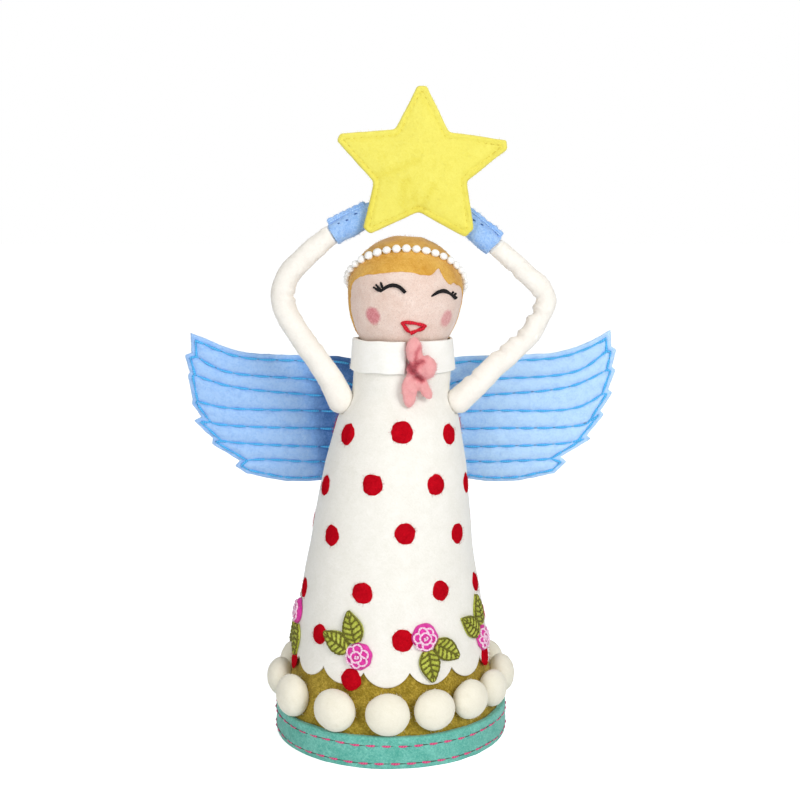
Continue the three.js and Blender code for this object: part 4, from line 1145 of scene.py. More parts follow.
def rose_paths(sprig, draw):
    """The lines of one rosebud's stitches: petals, heart, the lines between them and the curl."""
    shift = draw.uniform(0, FULL_TURN)
    middle = np.array([ROSE_OFF_MIDDLE + draw.uniform(-0.2, 0.2), draw.uniform(-0.35, 0.35)])

    def petal_ring(sides, radius, bulge, first):
        """Corners round the middle, and the bowed lines between them."""
        turns = [first + FULL_TURN * (i + draw.uniform(-0.16, 0.16)) / sides for i in range(sides)]
        reach = [radius * draw.uniform(0.88, 1.1) for _ in range(sides)]
        corners, bows = [], []
        for i in range(sides):
            after = (i + 1) % sides
            end = turns[after] + (FULL_TURN if after == 0 else 0)
            t = np.linspace(0, 1, 12)
            angle = turns[i] + (end - turns[i]) * t
            size = reach[i] + (reach[after] - reach[i]) * t + bulge * np.sin(math.pi * t) ** 0.8
            bows.append(middle + np.stack([size * np.cos(angle), size * np.sin(angle)], 1))
            corners.append(bows[-1][0])
        return corners, bows

    outer_corners, outer = petal_ring(PETALS, PETAL_EDGE, PETAL_BULGE, shift)
    heart_corners, heart = petal_ring(HEART_SIDES, HEART_RADIUS, HEART_BULGE, shift + 0.4)
    lines = [np.vstack(outer), np.vstack(heart)]
    for corner in outer_corners:
        near = min(heart_corners, key=lambda place: math.dist(place, corner))
        lines.append(corner + (near - corner) * np.linspace(0, 1, 8)[:, None])
    t = np.linspace(0, 1, 16)
    curl, angle = CURL_START + CURL_GROWTH * t, CURL_TURN * t + shift
    lines.append(middle + np.stack([curl * np.cos(angle), curl * np.sin(angle)], 1))
    paths = []
    for line in lines:
        share = np.hypot(line[:, 0], line[:, 1]) / ROSE_RADIUS
        out = rose_height(np.minimum(share, 0.95)) + THREAD_GAP
        paths.append(over_body(sprig["turn"], sprig["height"], line[:, 0], line[:, 1], out))
    return paths


draw = random.Random(11)
rose_lines = []
for number, sprig in enumerate(SPRIGS, 1):
    worked, nodes = (0.25, 3, 10 + number), [f"rosebud_{number}"]
    disc = rose_disc(sprig, draw)
    rosebud = felt_piece(f"rosebud_felt_{number}", disc, rose_felt, worked, "angel", "rose_felt", nodes)
    fuzz(rosebud, 0.7, 0.9, 20 + number, thickness=0.06, lean=1.3)
    rose_lines.extend(rose_paths(sprig, draw))
body_stitches("rose_stitches", rose_lines, rose_thread, (2.6, 0.97, 1.05, 0.15), "rose_felt")

# %% [markdown]
# ## Leaves
# Each sprig has two pointed leaves. The felt is puffed between its veins, and a dark olive thread runs
# round the edge, down the middle and out to each side. The shape is drawn flat, from the stalk to the
# tip, and laid over the cone like the dots.

# %% Leaves
LEAF_START = 6.4
LEAF_BASE = 0.12
LEAF_LENGTH = 16.5
LEAF_WIDTH = 10.0
LEAF_PROUD = 1.6
LEAF_TIP_POWER = 0.85
LEAF_SEAM = 0.91
VEINS = 5
VEIN_FIRST = 0.17
VEIN_STEP = 0.15
VEIN_RISE = 0.13
VEIN_DIP = 0.3
MIDDLE_DIP = 0.4


def leaf_half(share):
    return LEAF_WIDTH / 2 * np.sin(math.pi * np.clip(share, 0, 1) ** LEAF_TIP_POWER)


def leaf_height(share, side):
    """How far a leaf stands off the felt: side is -1 to 1 across it."""
    crown = np.sqrt(np.clip(1 - side**4, 0, 1))
    middle_dip = MIDDLE_DIP * bell(side / 0.16)
    veins = VEIN_DIP * np.cos((share - VEIN_RISE * np.abs(side) - VEIN_FIRST) / VEIN_STEP * FULL_TURN)
    ends = np.clip((1 - share) / 0.06, 0.35, 1)
    return 0.25 + (LEAF_PROUD - middle_dip - veins * (1 - side**4)) * crown * ends


def over_leaf(sprig, pointing, share, side, out):
    """Points on a leaf: share along it, side across it."""
    angle = math.radians(pointing)
    along = LEAF_START + (np.asarray(share) - LEAF_BASE) * LEAF_LENGTH
    half_width = side * leaf_half(share)
    across = along * math.cos(angle) - half_width * math.sin(angle)
    up = along * math.sin(angle) + half_width * math.cos(angle)
    return over_body(sprig["turn"], sprig["height"], across, up, out)


def leaf_shape(sprig, pointing):
    rings = []
    sides = np.linspace(-1, 1, 21)
    for share in np.linspace(LEAF_BASE, 0.985, 46):
        top = over_leaf(sprig, pointing, share, sides, leaf_height(share, sides))
        low = over_leaf(sprig, pointing, share, sides[-2:0:-2], 0.1)
        rings.append(np.vstack([top, low]))
    return skin(rings)


def leaf_lines(sprig, pointing):
    """The edge, the middle vein and the side veins of one leaf."""
    along = np.linspace(LEAF_BASE, 0.965, 40)
    lines = [
        (np.concatenate([along, along[::-1]]), np.repeat([LEAF_SEAM, -LEAF_SEAM], 40)),
        (np.linspace(LEAF_BASE, 0.93, 30), np.zeros(30)),
    ]
    for i in range(VEINS):
        start = VEIN_FIRST + VEIN_STEP * i
        for sign in (-1, 1):
            reach = np.linspace(0.04, 0.88, 9)
            lines.append((start + VEIN_RISE * reach, sign * reach))
    out = [leaf_height(share, side) + THREAD_GAP for share, side in lines]
    return [over_leaf(sprig, pointing, *line, high) for line, high in zip(lines, out)]


leaf_paths = []
for number, sprig in enumerate(SPRIGS, 1):
    for letter, pointing in zip("ab", sprig["leaves"]):
        leaf = shape_object(f"leaf_felt_{number}{letter}", leaf_shape(sprig, pointing), leaf_felt)
        settle(leaf, "angel", "leaf_felt", [f"leaf_{number}{letter}"])
        leaf_paths.extend(leaf_lines(sprig, pointing))
body_stitches("leaf_stitches", leaf_paths, leaf_thread, (2.0, 0.97, 1.0, 0.2), "leaf_felt")

# %% [markdown]
# ## Collar
# A strip of the body's own felt, 142 mm long and 15 mm wide, stands round the neck. It is bent into a
# ring, left open in front behind the bow, and its edges are soft because felt has no hem.

# %% Collar
COLLAR_LOW = 174.2
COLLAR_HIGH = 189.0
COLLAR_FELT = 1.45
COLLAR_GAP = 0.3
COLLAR_ROUND = 0.6
COLLAR_WAVE = 0.35
COLLAR_OPENING = math.radians(7)
FACE_TURN = math.radians(10)


def collar_section(turn):
    """A rounded strip on edge, which follows the neck inwards as it rises."""
    low = float(body_radius(COLLAR_LOW)) + 2 * COLLAR_GAP
    high = float(body_radius(BODY_HEIGHT)) + COLLAR_GAP
    wave = COLLAR_WAVE * wander([turn], 3, 0.5)[0]
    section = filled(rounded_bar(0.0, COLLAR_FELT, COLLAR_LOW, COLLAR_HIGH, COLLAR_ROUND), 1.2)
    height = COLLAR_HIGH - COLLAR_LOW
    return [(low + (high - low) * (z - COLLAR_LOW) / height + out, z + wave) for out, z in section]


collar_start = FACE_TURN + COLLAR_OPENING
collar_shape = band(collar_section, 150, collar_start, FULL_TURN - 2 * COLLAR_OPENING)
worked = (0.3, 9, 31)
# The collar wears collar_felt, a lighter copy of the ivory felt, as painted light.
collar = felt_piece("collar_felt", collar_shape, collar_felt, worked, "angel", "ivory_felt", ["collar"])

# %% [markdown]
# ## Smooth lines
# Arms, hairline, seams and strings all follow smooth lines through a few given points. The line
# bends evenly through each point, and its own points are spaced evenly along it.


# %% Smooth lines
def smooth_line(points, count, closed=False):
    """An even line of count points that passes smoothly through the given points."""
    points = np.asarray(points, float)
    if closed:
        padded = np.vstack([points[-1:], points, points[:2]])
    else:
        padded = np.vstack([2 * points[0] - points[1], points, 2 * points[-1] - points[-2]])
    parts = []
    share = np.linspace(0, 1, 24, endpoint=False)[:, None]
    for p0, p1, p2, p3 in zip(padded, padded[1:], padded[2:], padded[3:]):
        d0, d1, d2 = (math.sqrt(math.dist(a, b)) for a, b in ((p0, p1), (p1, p2), (p2, p3)))
        leave = ((p1 - p0) / d0 - (p2 - p0) / (d0 + d1) + (p2 - p1) / d1) * d1
        arrive = ((p2 - p1) / d1 - (p3 - p1) / (d1 + d2) + (p3 - p2) / d2) * d1
        step = p2 - p1
        parts.append(
            p1 + leave * share + (3 * step - 2 * leave - arrive) * share**2
            + (leave + arrive - 2 * step) * share**3
        )
    dense = np.vstack([*parts, padded[-2]])
    lengths = np.concatenate([[0], np.cumsum(np.linalg.norm(np.diff(dense, axis=0), axis=1))])
    places = np.linspace(0, lengths[-1], count)
    return np.stack([np.interp(places, lengths, dense[:, k]) for k in range(dense.shape[1])], 1)


def distance_to_line(points, line):
    """The distance from each point to the nearest of a line's own points."""
    gaps = np.asarray(points)[:, None, :] - np.asarray(line)[None, :, :]
    return np.sqrt((gaps**2).sum(-1)).min(1)


def set_shade(piece, values):
    """Stores a share of darker tone for each point of a piece, from 0 to 1: painted shade, and on the bow
    also its redder fibres.
    """
    store(piece.data, "shade", np.clip(values, 0, 1))


print("lines are ready")

# %% [markdown]
# ## Bow
# The bow is needle-felted in one piece: a knot, one loop up, one to the side, and two tails. Rounded
# lumps are merged with a voxel remesh, as wool joins when it is needled, and smoothed. Creases are then
# pressed in where the needle went deepest. The pink darkens in and around them: painted shade in the
# creases, and the redder fibres of the knot.

# %% Bow
BOW_KNOT_HEIGHT = 176.8
BOW_SEAT = float(body_radius(COLLAR_LOW)) + 1.55
BOW_VOXEL = 0.55
BOW_FORMS = [
    {"across": 0.4, "up": 0.0, "half": (3.3, 3.0, 3.5), "turn": 0},
    {"across": 0.6, "up": 8.4, "half": (3.9, 2.6, 6.3), "turn": 0},
    {"across": 6.2, "up": 1.0, "half": (4.6, 3.0, 5.4), "turn": 0},
    {"across": -1.4, "up": -9.2, "half": (3.7, 1.8, 8.4), "turn": 3},
    {"across": 4.9, "up": -7.8, "half": (2.7, 1.7, 7.0), "turn": -30},
]
BOW_CREASES = [
    {"line": [(-2.3, 2.2), (-0.9, -0.2), (0.8, -1.7), (2.0, -3.1), (4.0, -4.6)], "depth": 1.1, "wide": 0.7},
    {"line": [(-0.9, -0.2), (1.1, 2.2), (4.0, 3.9)], "depth": 0.7, "wide": 0.8},
    {"line": [(2.3, 9.8), (1.1, 7.1), (0.6, 3.2)], "depth": 0.45, "wide": 0.9},
]
BOW_SHADES = [(0.8, 1.5), (0.25, 0.45)]
BOW_TONE = 0.12


def painted_shade_wool(name, stops, bump=0.7, cloud=0.25):
    """Wool whose colour runs through several tones as the attribute shade rises: the painted shade of each
    piece.
    """
    material, tree, place, fibres = wool_material(name)
    clouds = noise_on(tree, place, CLOUD_SCALE * 2, 4, 0.7)
    shade = tree.node("ShaderNodeAttribute", output=2, attribute_name="shade")
    tone = shade + (clouds - 0.5) * cloud - (fibres - FIBRE_MIDDLE) * 0.9
    tones = [(share, paint(code)) for share, code in stops]
    colour = tree.node("ShaderNodeValToRGB", {0: tone.clamped()}, stops=tones)
    wool_shader(tree, colour, fibres, bump)
    return material


bow_wool = painted_shade_wool("bow_wool", [(0, "#F1B4B1"), (0.3, "#EA9FA0"), (0.58, "#D6767B"), (1, "#A8444E")])


def bow_blobs():
    """The lumps of the bow, each placed on the collar's opening."""
    shape = bmesh.new()
    cosine, sine = math.cos(FACE_TURN), math.sin(FACE_TURN)
    swing = np.array([[cosine, -sine], [sine, cosine]])
    for form in BOW_FORMS:
        made = bmesh.ops.create_icosphere(shape, subdivisions=4, radius=1)["verts"]
        turn = math.radians(form["turn"])
        width, depth, height = form["half"]
        for vertex in made:
            x, y, z = vertex.co.x * width, vertex.co.y * depth, vertex.co.z * height
            x, z = x * math.cos(turn) + z * math.sin(turn), z * math.cos(turn) - x * math.sin(turn)
            flat = swing @ np.array([x + form["across"], y - BOW_SEAT - depth])
            place = (flat[0] + float(lean(BOW_KNOT_HEIGHT)), flat[1], z + form["up"] + BOW_KNOT_HEIGHT)
            vertex.co = Vector(place) * MM
    mesh = bpy.data.meshes.new("bow_blobs")
    shape.to_mesh(mesh)
    shape.free()
    return new_object("bow_blobs", mesh)


def merged(source, name, finish, voxel, smoothing):
    """Lumps joined by a voxel remesh and smoothed."""
    modifier = source.modifiers.new("merge", "REMESH")
    modifier.mode = "VOXEL"
    modifier.voxel_size = voxel * MM
    mesh = evaluated_mesh(source)
    bpy.data.objects.remove(source)
    shape = bmesh.new()
    shape.from_mesh(mesh)
    every_way = {f"use_axis_{axis}": True for axis in "xyz"}
    for _ in range(smoothing):
        bmesh.ops.smooth_vert(shape, verts=shape.verts, factor=0.5, **every_way)
    shape.to_mesh(mesh)
    shape.free()
    outward(mesh)
    return finished(name, mesh, finish)


bow = merged(bow_blobs(), "bow_wool_piece", bow_wool, BOW_VOXEL, 5)
hand_worked(bow, 0.45, 3.2, 33)
bow_points = points_of(bow)
from_knot = bow_points - np.array([float(lean(BOW_KNOT_HEIGHT)), 0, BOW_KNOT_HEIGHT])
across = from_knot[:, 0] * math.cos(FACE_TURN) + from_knot[:, 1] * math.sin(FACE_TURN)
flat_bow = np.stack([across, from_knot[:, 2]], 1)
pressed = np.zeros(len(bow_points))
# bow_shade darkens the pink along each crease: painted shade, and the redder fibres near the knot.
bow_shade = np.full(len(bow_points), BOW_TONE)
for crease in BOW_CREASES:
    away = distance_to_line(flat_bow, smooth_line(crease["line"], 60))
    pressed += crease["depth"] * bell(away / crease["wide"])
    for deep, wide in BOW_SHADES:
        bow_shade += crease["depth"] * deep * bell(away / wide)
inwards = np.array([-math.sin(FACE_TURN), math.cos(FACE_TURN), 0])
front = bow_points @ inwards < -BOW_SEAT
put_points(bow, bow_points + inwards * (pressed * front)[:, None])
set_shade(bow, bow_shade)
settle(bow, "angel", "bow_wool", ["bow"])

# %% [markdown]
# ## Head
# The head is a wool egg with its narrow end down in the neck, turned and tipped a little to the viewer's
# right. The skin is fine pale felt with a few darker fibres. The two cheeks are pink wool rubbed into it,
# so they are spots of colour whose edge is broken by noise, each measured from its own middle.

# %% Head finish
HEAD_PLACE = np.array([7.0, 0.0, 211.0])
HEAD_TILT = math.radians(4.5)
HEAD_RADIUS = 26.5
HEAD_UP = 25.3
HEAD_DOWN = 35.1
CHEEK_RADIUS = 4.3
CHEEKS = [(-17.5, -11.4, 0.82), (16.6, -10.4, 0.6)]
CHEEK_FADE = 2.6
CHEEK_RAG = 0.7
SPECK_SCALE = 2600
SPECK_SHARE = 0.6


def head_matrix():
    """Turns a direction of the head's own into one of the model: a turn to the side, then a tilt."""
    tilt_cos, tilt_sin = math.cos(HEAD_TILT), math.sin(HEAD_TILT)
    turn_cos, turn_sin = math.cos(FACE_TURN), math.sin(FACE_TURN)
    tilt = np.array([[tilt_cos, 0, tilt_sin], [0, 1, 0], [-tilt_sin, 0, tilt_cos]])
    return tilt @ np.array([[turn_cos, -turn_sin, 0], [turn_sin, turn_cos, 0], [0, 0, 1]])


head_turned = head_matrix()


def from_head(points):
    """Points given from the head's middle, as points of the model."""
    return np.asarray(points, float) @ head_turned.T + HEAD_PLACE


def egg_ring(turns, height, growth):
    """Points of the egg at a height, for turns round the head."""
    reach = np.where(np.asarray(height) > 0, HEAD_UP, HEAD_DOWN) + growth
    radius = (HEAD_RADIUS + growth) * np.sqrt(np.clip(1 - (height / reach) ** 2, 0, None))
    return np.stack(np.broadcast_arrays(radius * np.sin(turns), -radius * np.cos(turns), height), -1)


def on_face(line, out):
    """Points over the face for (across, up) measured from the head's middle, and the way out of each."""
    across, up = np.asarray(line, float).T
    reach = np.where(up > 0, HEAD_UP, HEAD_DOWN)
    radius = HEAD_RADIUS * np.sqrt(1 - (up / reach) ** 2)
    deep = -np.sqrt(radius**2 - across**2)
    normal = unit(np.stack([across / HEAD_RADIUS**2, deep / HEAD_RADIUS**2, up / reach**2], 1))
    points = np.stack([across, deep, up], 1) + normal * out
    return from_head(points), normal @ head_turned.T


def skin_finish():
    material, tree, place, fibres = wool_material("skin_felt")
    colour = felt_colour(tree, place, "#F3E1D6", "#DEC0B0", 1.1, 1.8, fibres)
    specks = noise_on(tree, place, SPECK_SCALE, 2, 0.6)
    grey = ((specks - 0.58) * 7).clamped() * SPECK_SHARE
    colour = mix_colours(tree, grey, colour, paint("#A08C82"))
    rough_edge = (noise_on(tree, place, 900, 3, 0.7) - 0.5) * 0.9
    flecks = ((fibres - 0.55) * 4).clamped()
    blush = mix_colours(tree, flecks, paint("#C85E6C"), paint("#EA9EA4"))
    for across, up, strength in CHEEKS:
        cheek = tuple(on_face([(across, up)], 0.0)[0][0] * MM)
        away = tree.vector("DISTANCE", place, cheek, output=1) / (CHEEK_RADIUS * MM)
        share = ((1.1 - away + rough_edge * CHEEK_RAG) * CHEEK_FADE).clamped() * strength
        colour = mix_colours(tree, share, colour, blush)
    wool_shader(tree, colour, fibres, 0.4, 0.2, 0.00025)
    return material


skin_felt = skin_finish()

# %% Hairline and head
HAIR_END = -22.0
HAIR_LEFT = -89
HAIR_RIGHT = 84
HAIR_PROUD = 0.42
HAIR_BED = 1.3
HAIR_ROUND = 1.1
CROWN_SHARE = 0.997
UNDER_HAIR = (0.3, 1.2)
HAIRLINE = [
    (-89, -22.0), (-87, -12.5), (-84.5, -6.0), (-79, 1.6), (-64, 5.6), (-44, 7.6), (-23.6, 9.1),
    (-8, 9.4), (7, 8.8), (15, 8.8), (19, 9.6), (23.5, 11.2), (27.2, 12.1), (29.5, 9.9), (33, 7.4),
    (38.5, 5.3), (47, 5.6), (56, 4.9), (70, 2.6), (79, -6.0), (81.5, -12.5), (84, -22.0)
]


def hair_edge():
    """Turns round the head and the height of the hair's edge at each, in radians and millimetres."""
    scaled = [(math.radians(turn) * HEAD_RADIUS, height) for turn, height in HAIRLINE]
    front = smooth_line(scaled, 200)
    behind = np.linspace(HAIR_RIGHT, 360 + HAIR_LEFT, 90)[1:-1]
    turns = np.concatenate([front[:, 0] / HEAD_RADIUS, np.radians(behind)])
    heights = np.concatenate([front[:, 1], np.full(len(behind), HAIR_END)])
    return turns, heights + 0.5 * wander(turns, 9, 3)


edge_turns, edge_heights = hair_edge()


def hair_height_at(turns):
    """Height of the hair's edge for any turns round the head."""
    start = math.radians(HAIR_LEFT)
    wrapped = (np.asarray(turns) - start) % FULL_TURN + start
    return np.interp(wrapped, edge_turns, edge_heights)


def head_shape():
    turns = turns_round(180)
    edge = hair_height_at(turns)
    rings = []
    for angle in np.linspace(0.03, math.pi - 0.03, 130):
        rise = math.cos(angle)
        height = rise * (HEAD_UP if rise > 0 else HEAD_DOWN)
        under = np.clip((height - edge - UNDER_HAIR[0]) / UNDER_HAIR[1], 0, 1)
        rings.append(from_head(egg_ring(turns, np.full(len(turns), height), -HAIR_BED * under)))
    return skin(rings)


felt_piece("head_felt", head_shape(), skin_felt, (0.12, 7, 34), "angel", "face_felt", ["head"])

# %% [markdown]
# ## Hair
# The hair is a cap of amber felt, cut to a hairline with a parting on one side and laid over the head. It
# is a shell whose columns run from the crown down to the hairline, so its edge follows the cut exactly.
# The edge is rounded down to the skin.


# %% Hair
def hair_shape():
    tops = np.full(len(edge_turns), HEAD_UP * CROWN_SHARE)
    rings = []

    def ring(share, growth):
        """One ring at a share of the way down, off the head by a growth that ends at the edge."""
        fall = (tops - edge_heights) * (1 - np.cos(share * math.pi / 2))
        heights = tops - fall if share < 1 else edge_heights
        from_edge = np.clip((heights - edge_heights) / HAIR_ROUND, 0, 1)
        bulge = np.sqrt(np.clip(1 - (1 - from_edge) ** 2, 0, 1)) if growth > 0 else np.ones(len(heights))
        rings.append(from_head(egg_ring(edge_turns, heights, growth * bulge)))

    shares = np.sin(np.linspace(0.02, 1, 60) * math.pi / 2)
    for share in shares:
        ring(share, HAIR_PROUD)
    for share in shares[::-4]:
        ring(share, -HAIR_BED * 0.75)
    return skin(rings)


felt_piece("hair_felt", hair_shape(), hair_wool, (0.3, 5, 35), "angel", "hair_wool", ["hair"])

# %% [markdown]
# ## Face embroidery
# The eyes are two closed lids in black satin stitch with lashes at the outer ends, and the mouth is an
# outline in red. The lines are drawn across and up on the face, laid on the egg, and sewn with the same
# stitch tree as the foot band.

# %% Eyes and mouth
EYE_THREAD = 1.9
LASH_THREAD = 1.25
LIP_THREAD = 1.95
LEFT_EYE = [(-15.4, -0.27), (-13.23, 1.94), (-10.58, 3.2), (-7.54, 2.65), (-4.86, 0.43)]
RIGHT_EYE = [(7.28, -0.49), (9.65, 1.37), (12.49, 2.29), (15.94, 1.48), (19.61, -0.77)]
LEFT_LASHES = [(-18.2, 1.5), (-17.3, 2.8), (-15.5, 4.0)]
LEFT_LASH_ROOTS = [(-15.3, -0.1), (-14.9, 0.3), (-14.2, 0.9)]
RIGHT_LASHES = [(20.6, -0.6), (19.9, 1.2), (18.3, 1.9)]
RIGHT_LASH_ROOTS = [(18.8, -0.5), (18.2, 0.1), (17.3, 0.7)]
MOUTH = [
    [(-5.0, -13.0), (-3.0, -12.75), (0.3, -12.9), (3.3, -13.3), (6.3, -14.1)],
    [(6.3, -14.1), (2.5, -16.2), (-0.6, -17.6)],
    [(-0.6, -17.6), (-3.0, -15.4), (-5.0, -13.0)],
]


def face_stitches(name, lines, finish, pitch, shown, thickness):
    laid = [on_face(smooth_line(line, 40), 0.1) for line in lines]
    sizes = (pitch, shown, thickness, 0.25)
    stitches(name, [p for p, _ in laid], [w for _, w in laid], finish, sizes, "angel", "face_felt")


face_stitches("eye_stitches", [LEFT_EYE, RIGHT_EYE], black_thread, 1.9, 0.97, EYE_THREAD)
lashes = [
    [root, ((root[0] + tip[0]) / 2, (root[1] + tip[1]) / 2 - 0.1), tip]
    for root, tip in zip(LEFT_LASH_ROOTS + RIGHT_LASH_ROOTS, LEFT_LASHES + RIGHT_LASHES)
]
face_stitches("lash_stitches", lashes, black_thread, 3.6, 1.0, LASH_THREAD)
face_stitches("mouth_stitches", MOUTH, lip_thread, 2.4, 0.98, LIP_THREAD)

# %% [markdown]
# ## Bead tiara
# Thirty-eight pearly beads are threaded round the head, high over the brow and lower towards the nape.
# Each place on the string is found by going out from the head's middle until the egg is cleared. Geometry
# Nodes put a bead on each place, turn it along the string, and make each its own size, longer or shorter.

# %% Bead tree
BEADS = 38
BEAD_RADIUS = 1.87
BEAD_SIDE_HEIGHT = 5.6
BEAD_ROLL = -0.06
BEAD_FRONT_SLOPE = 0.774
BEAD_BACK_SLOPE = 0.5
BEAD_BEND = 2.0
BEAD_STAND = 1.75
BEAD_SIZES = ((0.86, 0.86, 0.98), (1.04, 1.04, 1.15))


def mottled(name, grain, deep, pale, bump, depth, **constant):
    """A finish of two tones, mixed by one noise: its scale, detail and roughness."""
    material, tree = empty_material(name)
    marks = noise_on(tree, tree.node("ShaderNodeTexCoord", output=3), *grain)
    colour = mix_colours(tree, marks, paint(deep), paint(pale))
    finish_shader(tree, colour, marks, bump, depth, **constant)
    return material


gloss = {"Roughness": 0.32, "Coat_Weight": 0.3, "Coat_Roughness": 0.25}
pearl = mottled("pearl_bead", (400, 3, 0.5), "#F4F2EC", "#FFFFFF", 0.15, 0.0002, **gloss)


def bead_group():
    group, tree, value = node_group("bead_row", ("Radius",), ("Seed",))
    bead = tree.node("GeometryNodeMeshUVSphere", {0: 20, 1: 12, 2: value["Radius"]})
    ways = {0: named(tree, "way"), 1: named(tree, "out")}
    turned = tree.node("FunctionNodeAxesToRotation", ways, primary_axis="Z", secondary_axis="X")
    sizes = {0: BEAD_SIZES[0], 1: BEAD_SIZES[1], 8: value["Seed"]}
    size = tree.node("FunctionNodeRandomValue", sizes, data_type="FLOAT_VECTOR")
    placed = instances(tree, value["Geometry"], bead, turned, size)
    close_group(tree, placed, value["Material"])
    return group


# %% Beads
def bead_places(count):
    """Places round the head, from the middle of the brow: high in front and lower behind."""
    steepness = (BEAD_FRONT_SLOPE + BEAD_BACK_SLOPE) / 2
    change = (BEAD_FRONT_SLOPE - BEAD_BACK_SLOPE) / 2
    places = []
    for angle in turns_round(count):
        reach = np.linspace(10, 60, 5001)
        x, y = reach * math.sin(angle), -reach * math.cos(angle)
        fall = steepness * y - change * (np.sqrt(y**2 + BEAD_BEND**2) - BEAD_BEND)
        points = np.stack([x, y, BEAD_SIDE_HEIGHT + BEAD_ROLL * x - fall], 1)
        tall = np.where(points[:, 2] > 0, HEAD_UP, HEAD_DOWN) + BEAD_STAND
        wide = HEAD_RADIUS + BEAD_STAND
        value = (points[:, 0] ** 2 + points[:, 1] ** 2) / wide**2 + points[:, 2] ** 2 / tall**2
        places.append(points[np.searchsorted(value, 1.0)])
    return np.array(places)


string = smooth_line(bead_places(72), BEADS + 1, closed=True)[:-1]
string_ways = np.roll(string, -1, 0) - np.roll(string, 1, 0)
bead_values = {"Radius": BEAD_RADIUS * MM, "Seed": 9}
bead_ways = string_ways @ head_turned.T
beads = at_points("tiara_beads", from_head(string), bead_group(), bead_values, pearl, way=bead_ways)
settle(beads, "angel", "beads", ["bead_string"])
pearl_thread = thread("pearl_thread", "#F4F2EC", "#DDD8CC")
bead_line = from_head(np.vstack([string, string[:1]]))
up = [np.array([0, 0, 1.0])]
stitches("tiara_thread", [bead_line], up, pearl_thread, (3.0, 1.0, 0.45, 0.0), "angel", "beads")

# %% [markdown]
# ## Arms
# The arms are thin felt sleeves rolled round a wire, so they are not quite round and wrinkle where they
# bend. Each is a row of rings along a smooth line from the shoulder to the wrist. The shoulder end is
# round and sits in its hollow in the body, and the wrist end goes a little way into the mitten's cuff.

# %% Arms
ARM_SPREAD = 40.0
ARM_RISE = 77.4
ARM_FORWARD = 3.0
CUFF_REACH = 1.4
FOLD_WIDE = 1.5
FOLDS = {
    "left": [(0.6, 0.7), (0.3, 0.35)],
    "right": [(0.13, 0.6), (0.3, 0.9), (0.41, 1.1), (0.56, 1.4), (0.67, 0.6), (0.86, 0.5)],
}
CUFF_OPENING = (3.9, 2.9)
CUFF_START = 0.965
CAP_ANGLES = (6, 18, 32, 46, 60, 76)
CREASE_PUSH = 0.4
CREASE_SIDE = 1.7
CUFF_PINCH = (0.06, 0.25)
ARMS = {
    "left": {
        "sign": -1,
        "line": [
            (0, 0), (0.083, 0.088), (0.22, 0.209), (0.393, 0.337), (0.52, 0.428), (0.645, 0.559),
            (0.665, 0.619), (0.653, 0.68), (0.605, 0.744), (0.523, 0.804), (0.278, 0.922), (0.093, 1),
        ],
        "thickness": (1, 0.9, 0.88, 0.87, 0.76),
        "hand": math.radians(30),
    },
    "right": {
        "sign": 1,
        "line": [
            (0, 0), (0.188, 0.088), (0.418, 0.207), (0.65, 0.313), (0.833, 0.41), (0.923, 0.5),
            (1, 0.596), (0.943, 0.68), (0.79, 0.753), (0.625, 0.833), (0.405, 0.929),
        ],
        "thickness": (1, 0.85, 0.78, 0.76, 0.7),
        "hand": math.radians(43),
    },
}


def rod_rings(centres, half_flat, half_deep, sides):
    """Rings round a line that lies nearly upright and across: half its width and half its depth."""
    ways = unit(np.gradient(centres, axis=0))
    deep = unit(np.array([0.0, 1.0, 0.0]) - ways * ways[:, 1:2])
    flat = np.cross(ways, deep)
    angles = turns_round(sides)[None, :, None]
    half_flat, half_deep = (np.asarray(v, float)[:, None, None] for v in (half_flat, half_deep))
    return (
        centres[:, None, :]
        + half_flat * np.cos(angles) * flat[:, None, :]
        + half_deep * np.sin(angles) * deep[:, None, :]
    )


def arm_line(side, count):
    arm = ARMS[side]
    shoulder = shoulder_place(arm["sign"])
    points = [
        shoulder + (arm["sign"] * out * ARM_SPREAD, -up * ARM_FORWARD, up * ARM_RISE)
        for out, up in arm["line"]
    ]
    return smooth_line(points, count)


def hand_ways(side):
    """Along the hand, across it towards its seam, and out of its front."""
    sign, turn = ARMS[side]["sign"], ARMS[side]["hand"]
    along = np.array([-sign * math.cos(turn), 0, math.sin(turn)])
    across = np.array([sign * math.sin(turn), 0, math.cos(turn)])
    return np.stack([along, across, np.array([0, -1.0, 0])])


def arm_shape(side):
    line = arm_line(side, 110)
    shares = np.linspace(0, 1, 110)
    radii = ARM_RADIUS * np.interp(shares, np.linspace(0, 1, 5), ARMS[side]["thickness"])
    start = unit(line[1] - line[0])
    cap_angles = np.radians(CAP_ANGLES)
    cap = np.array([line[0] - start * ARM_RADIUS * math.cos(a) for a in cap_angles])
    cap_radii = ARM_RADIUS * np.sin(cap_angles)
    along = hand_ways(side)[0]
    inside = np.array([line[-1] + along * step for step in (0.15, 0.7, CUFF_REACH)])
    centres = np.vstack([cap, line, inside])
    squeeze = np.clip((shares - CUFF_START) / (1 - CUFF_START), 0, 1) ** 2
    halves = []
    for opening, pinch in zip(CUFF_OPENING, CUFF_PINCH):
        halves.append(np.concatenate([cap_radii, radii * (1 - pinch * squeeze), np.full(3, opening)]))
    return skin(rod_rings(centres, *halves, 36))


def wrinkled(piece, amount, long, wide, seed):
    """Folds across a sleeve: ridges that are long one way and narrow along the arm."""
    points = points_of(piece)
    normals = normals_of(piece)
    moved = []
    for point, normal in zip(points, normals):
        place = Vector((point[0] / long, point[1] / long, point[2] / wide + seed * 4.7))
        fold = 1 - 2 * abs(noise.noise(place))
        moved.append(point + normal * amount * (fold**3 - 0.4))
    put_points(piece, moved)


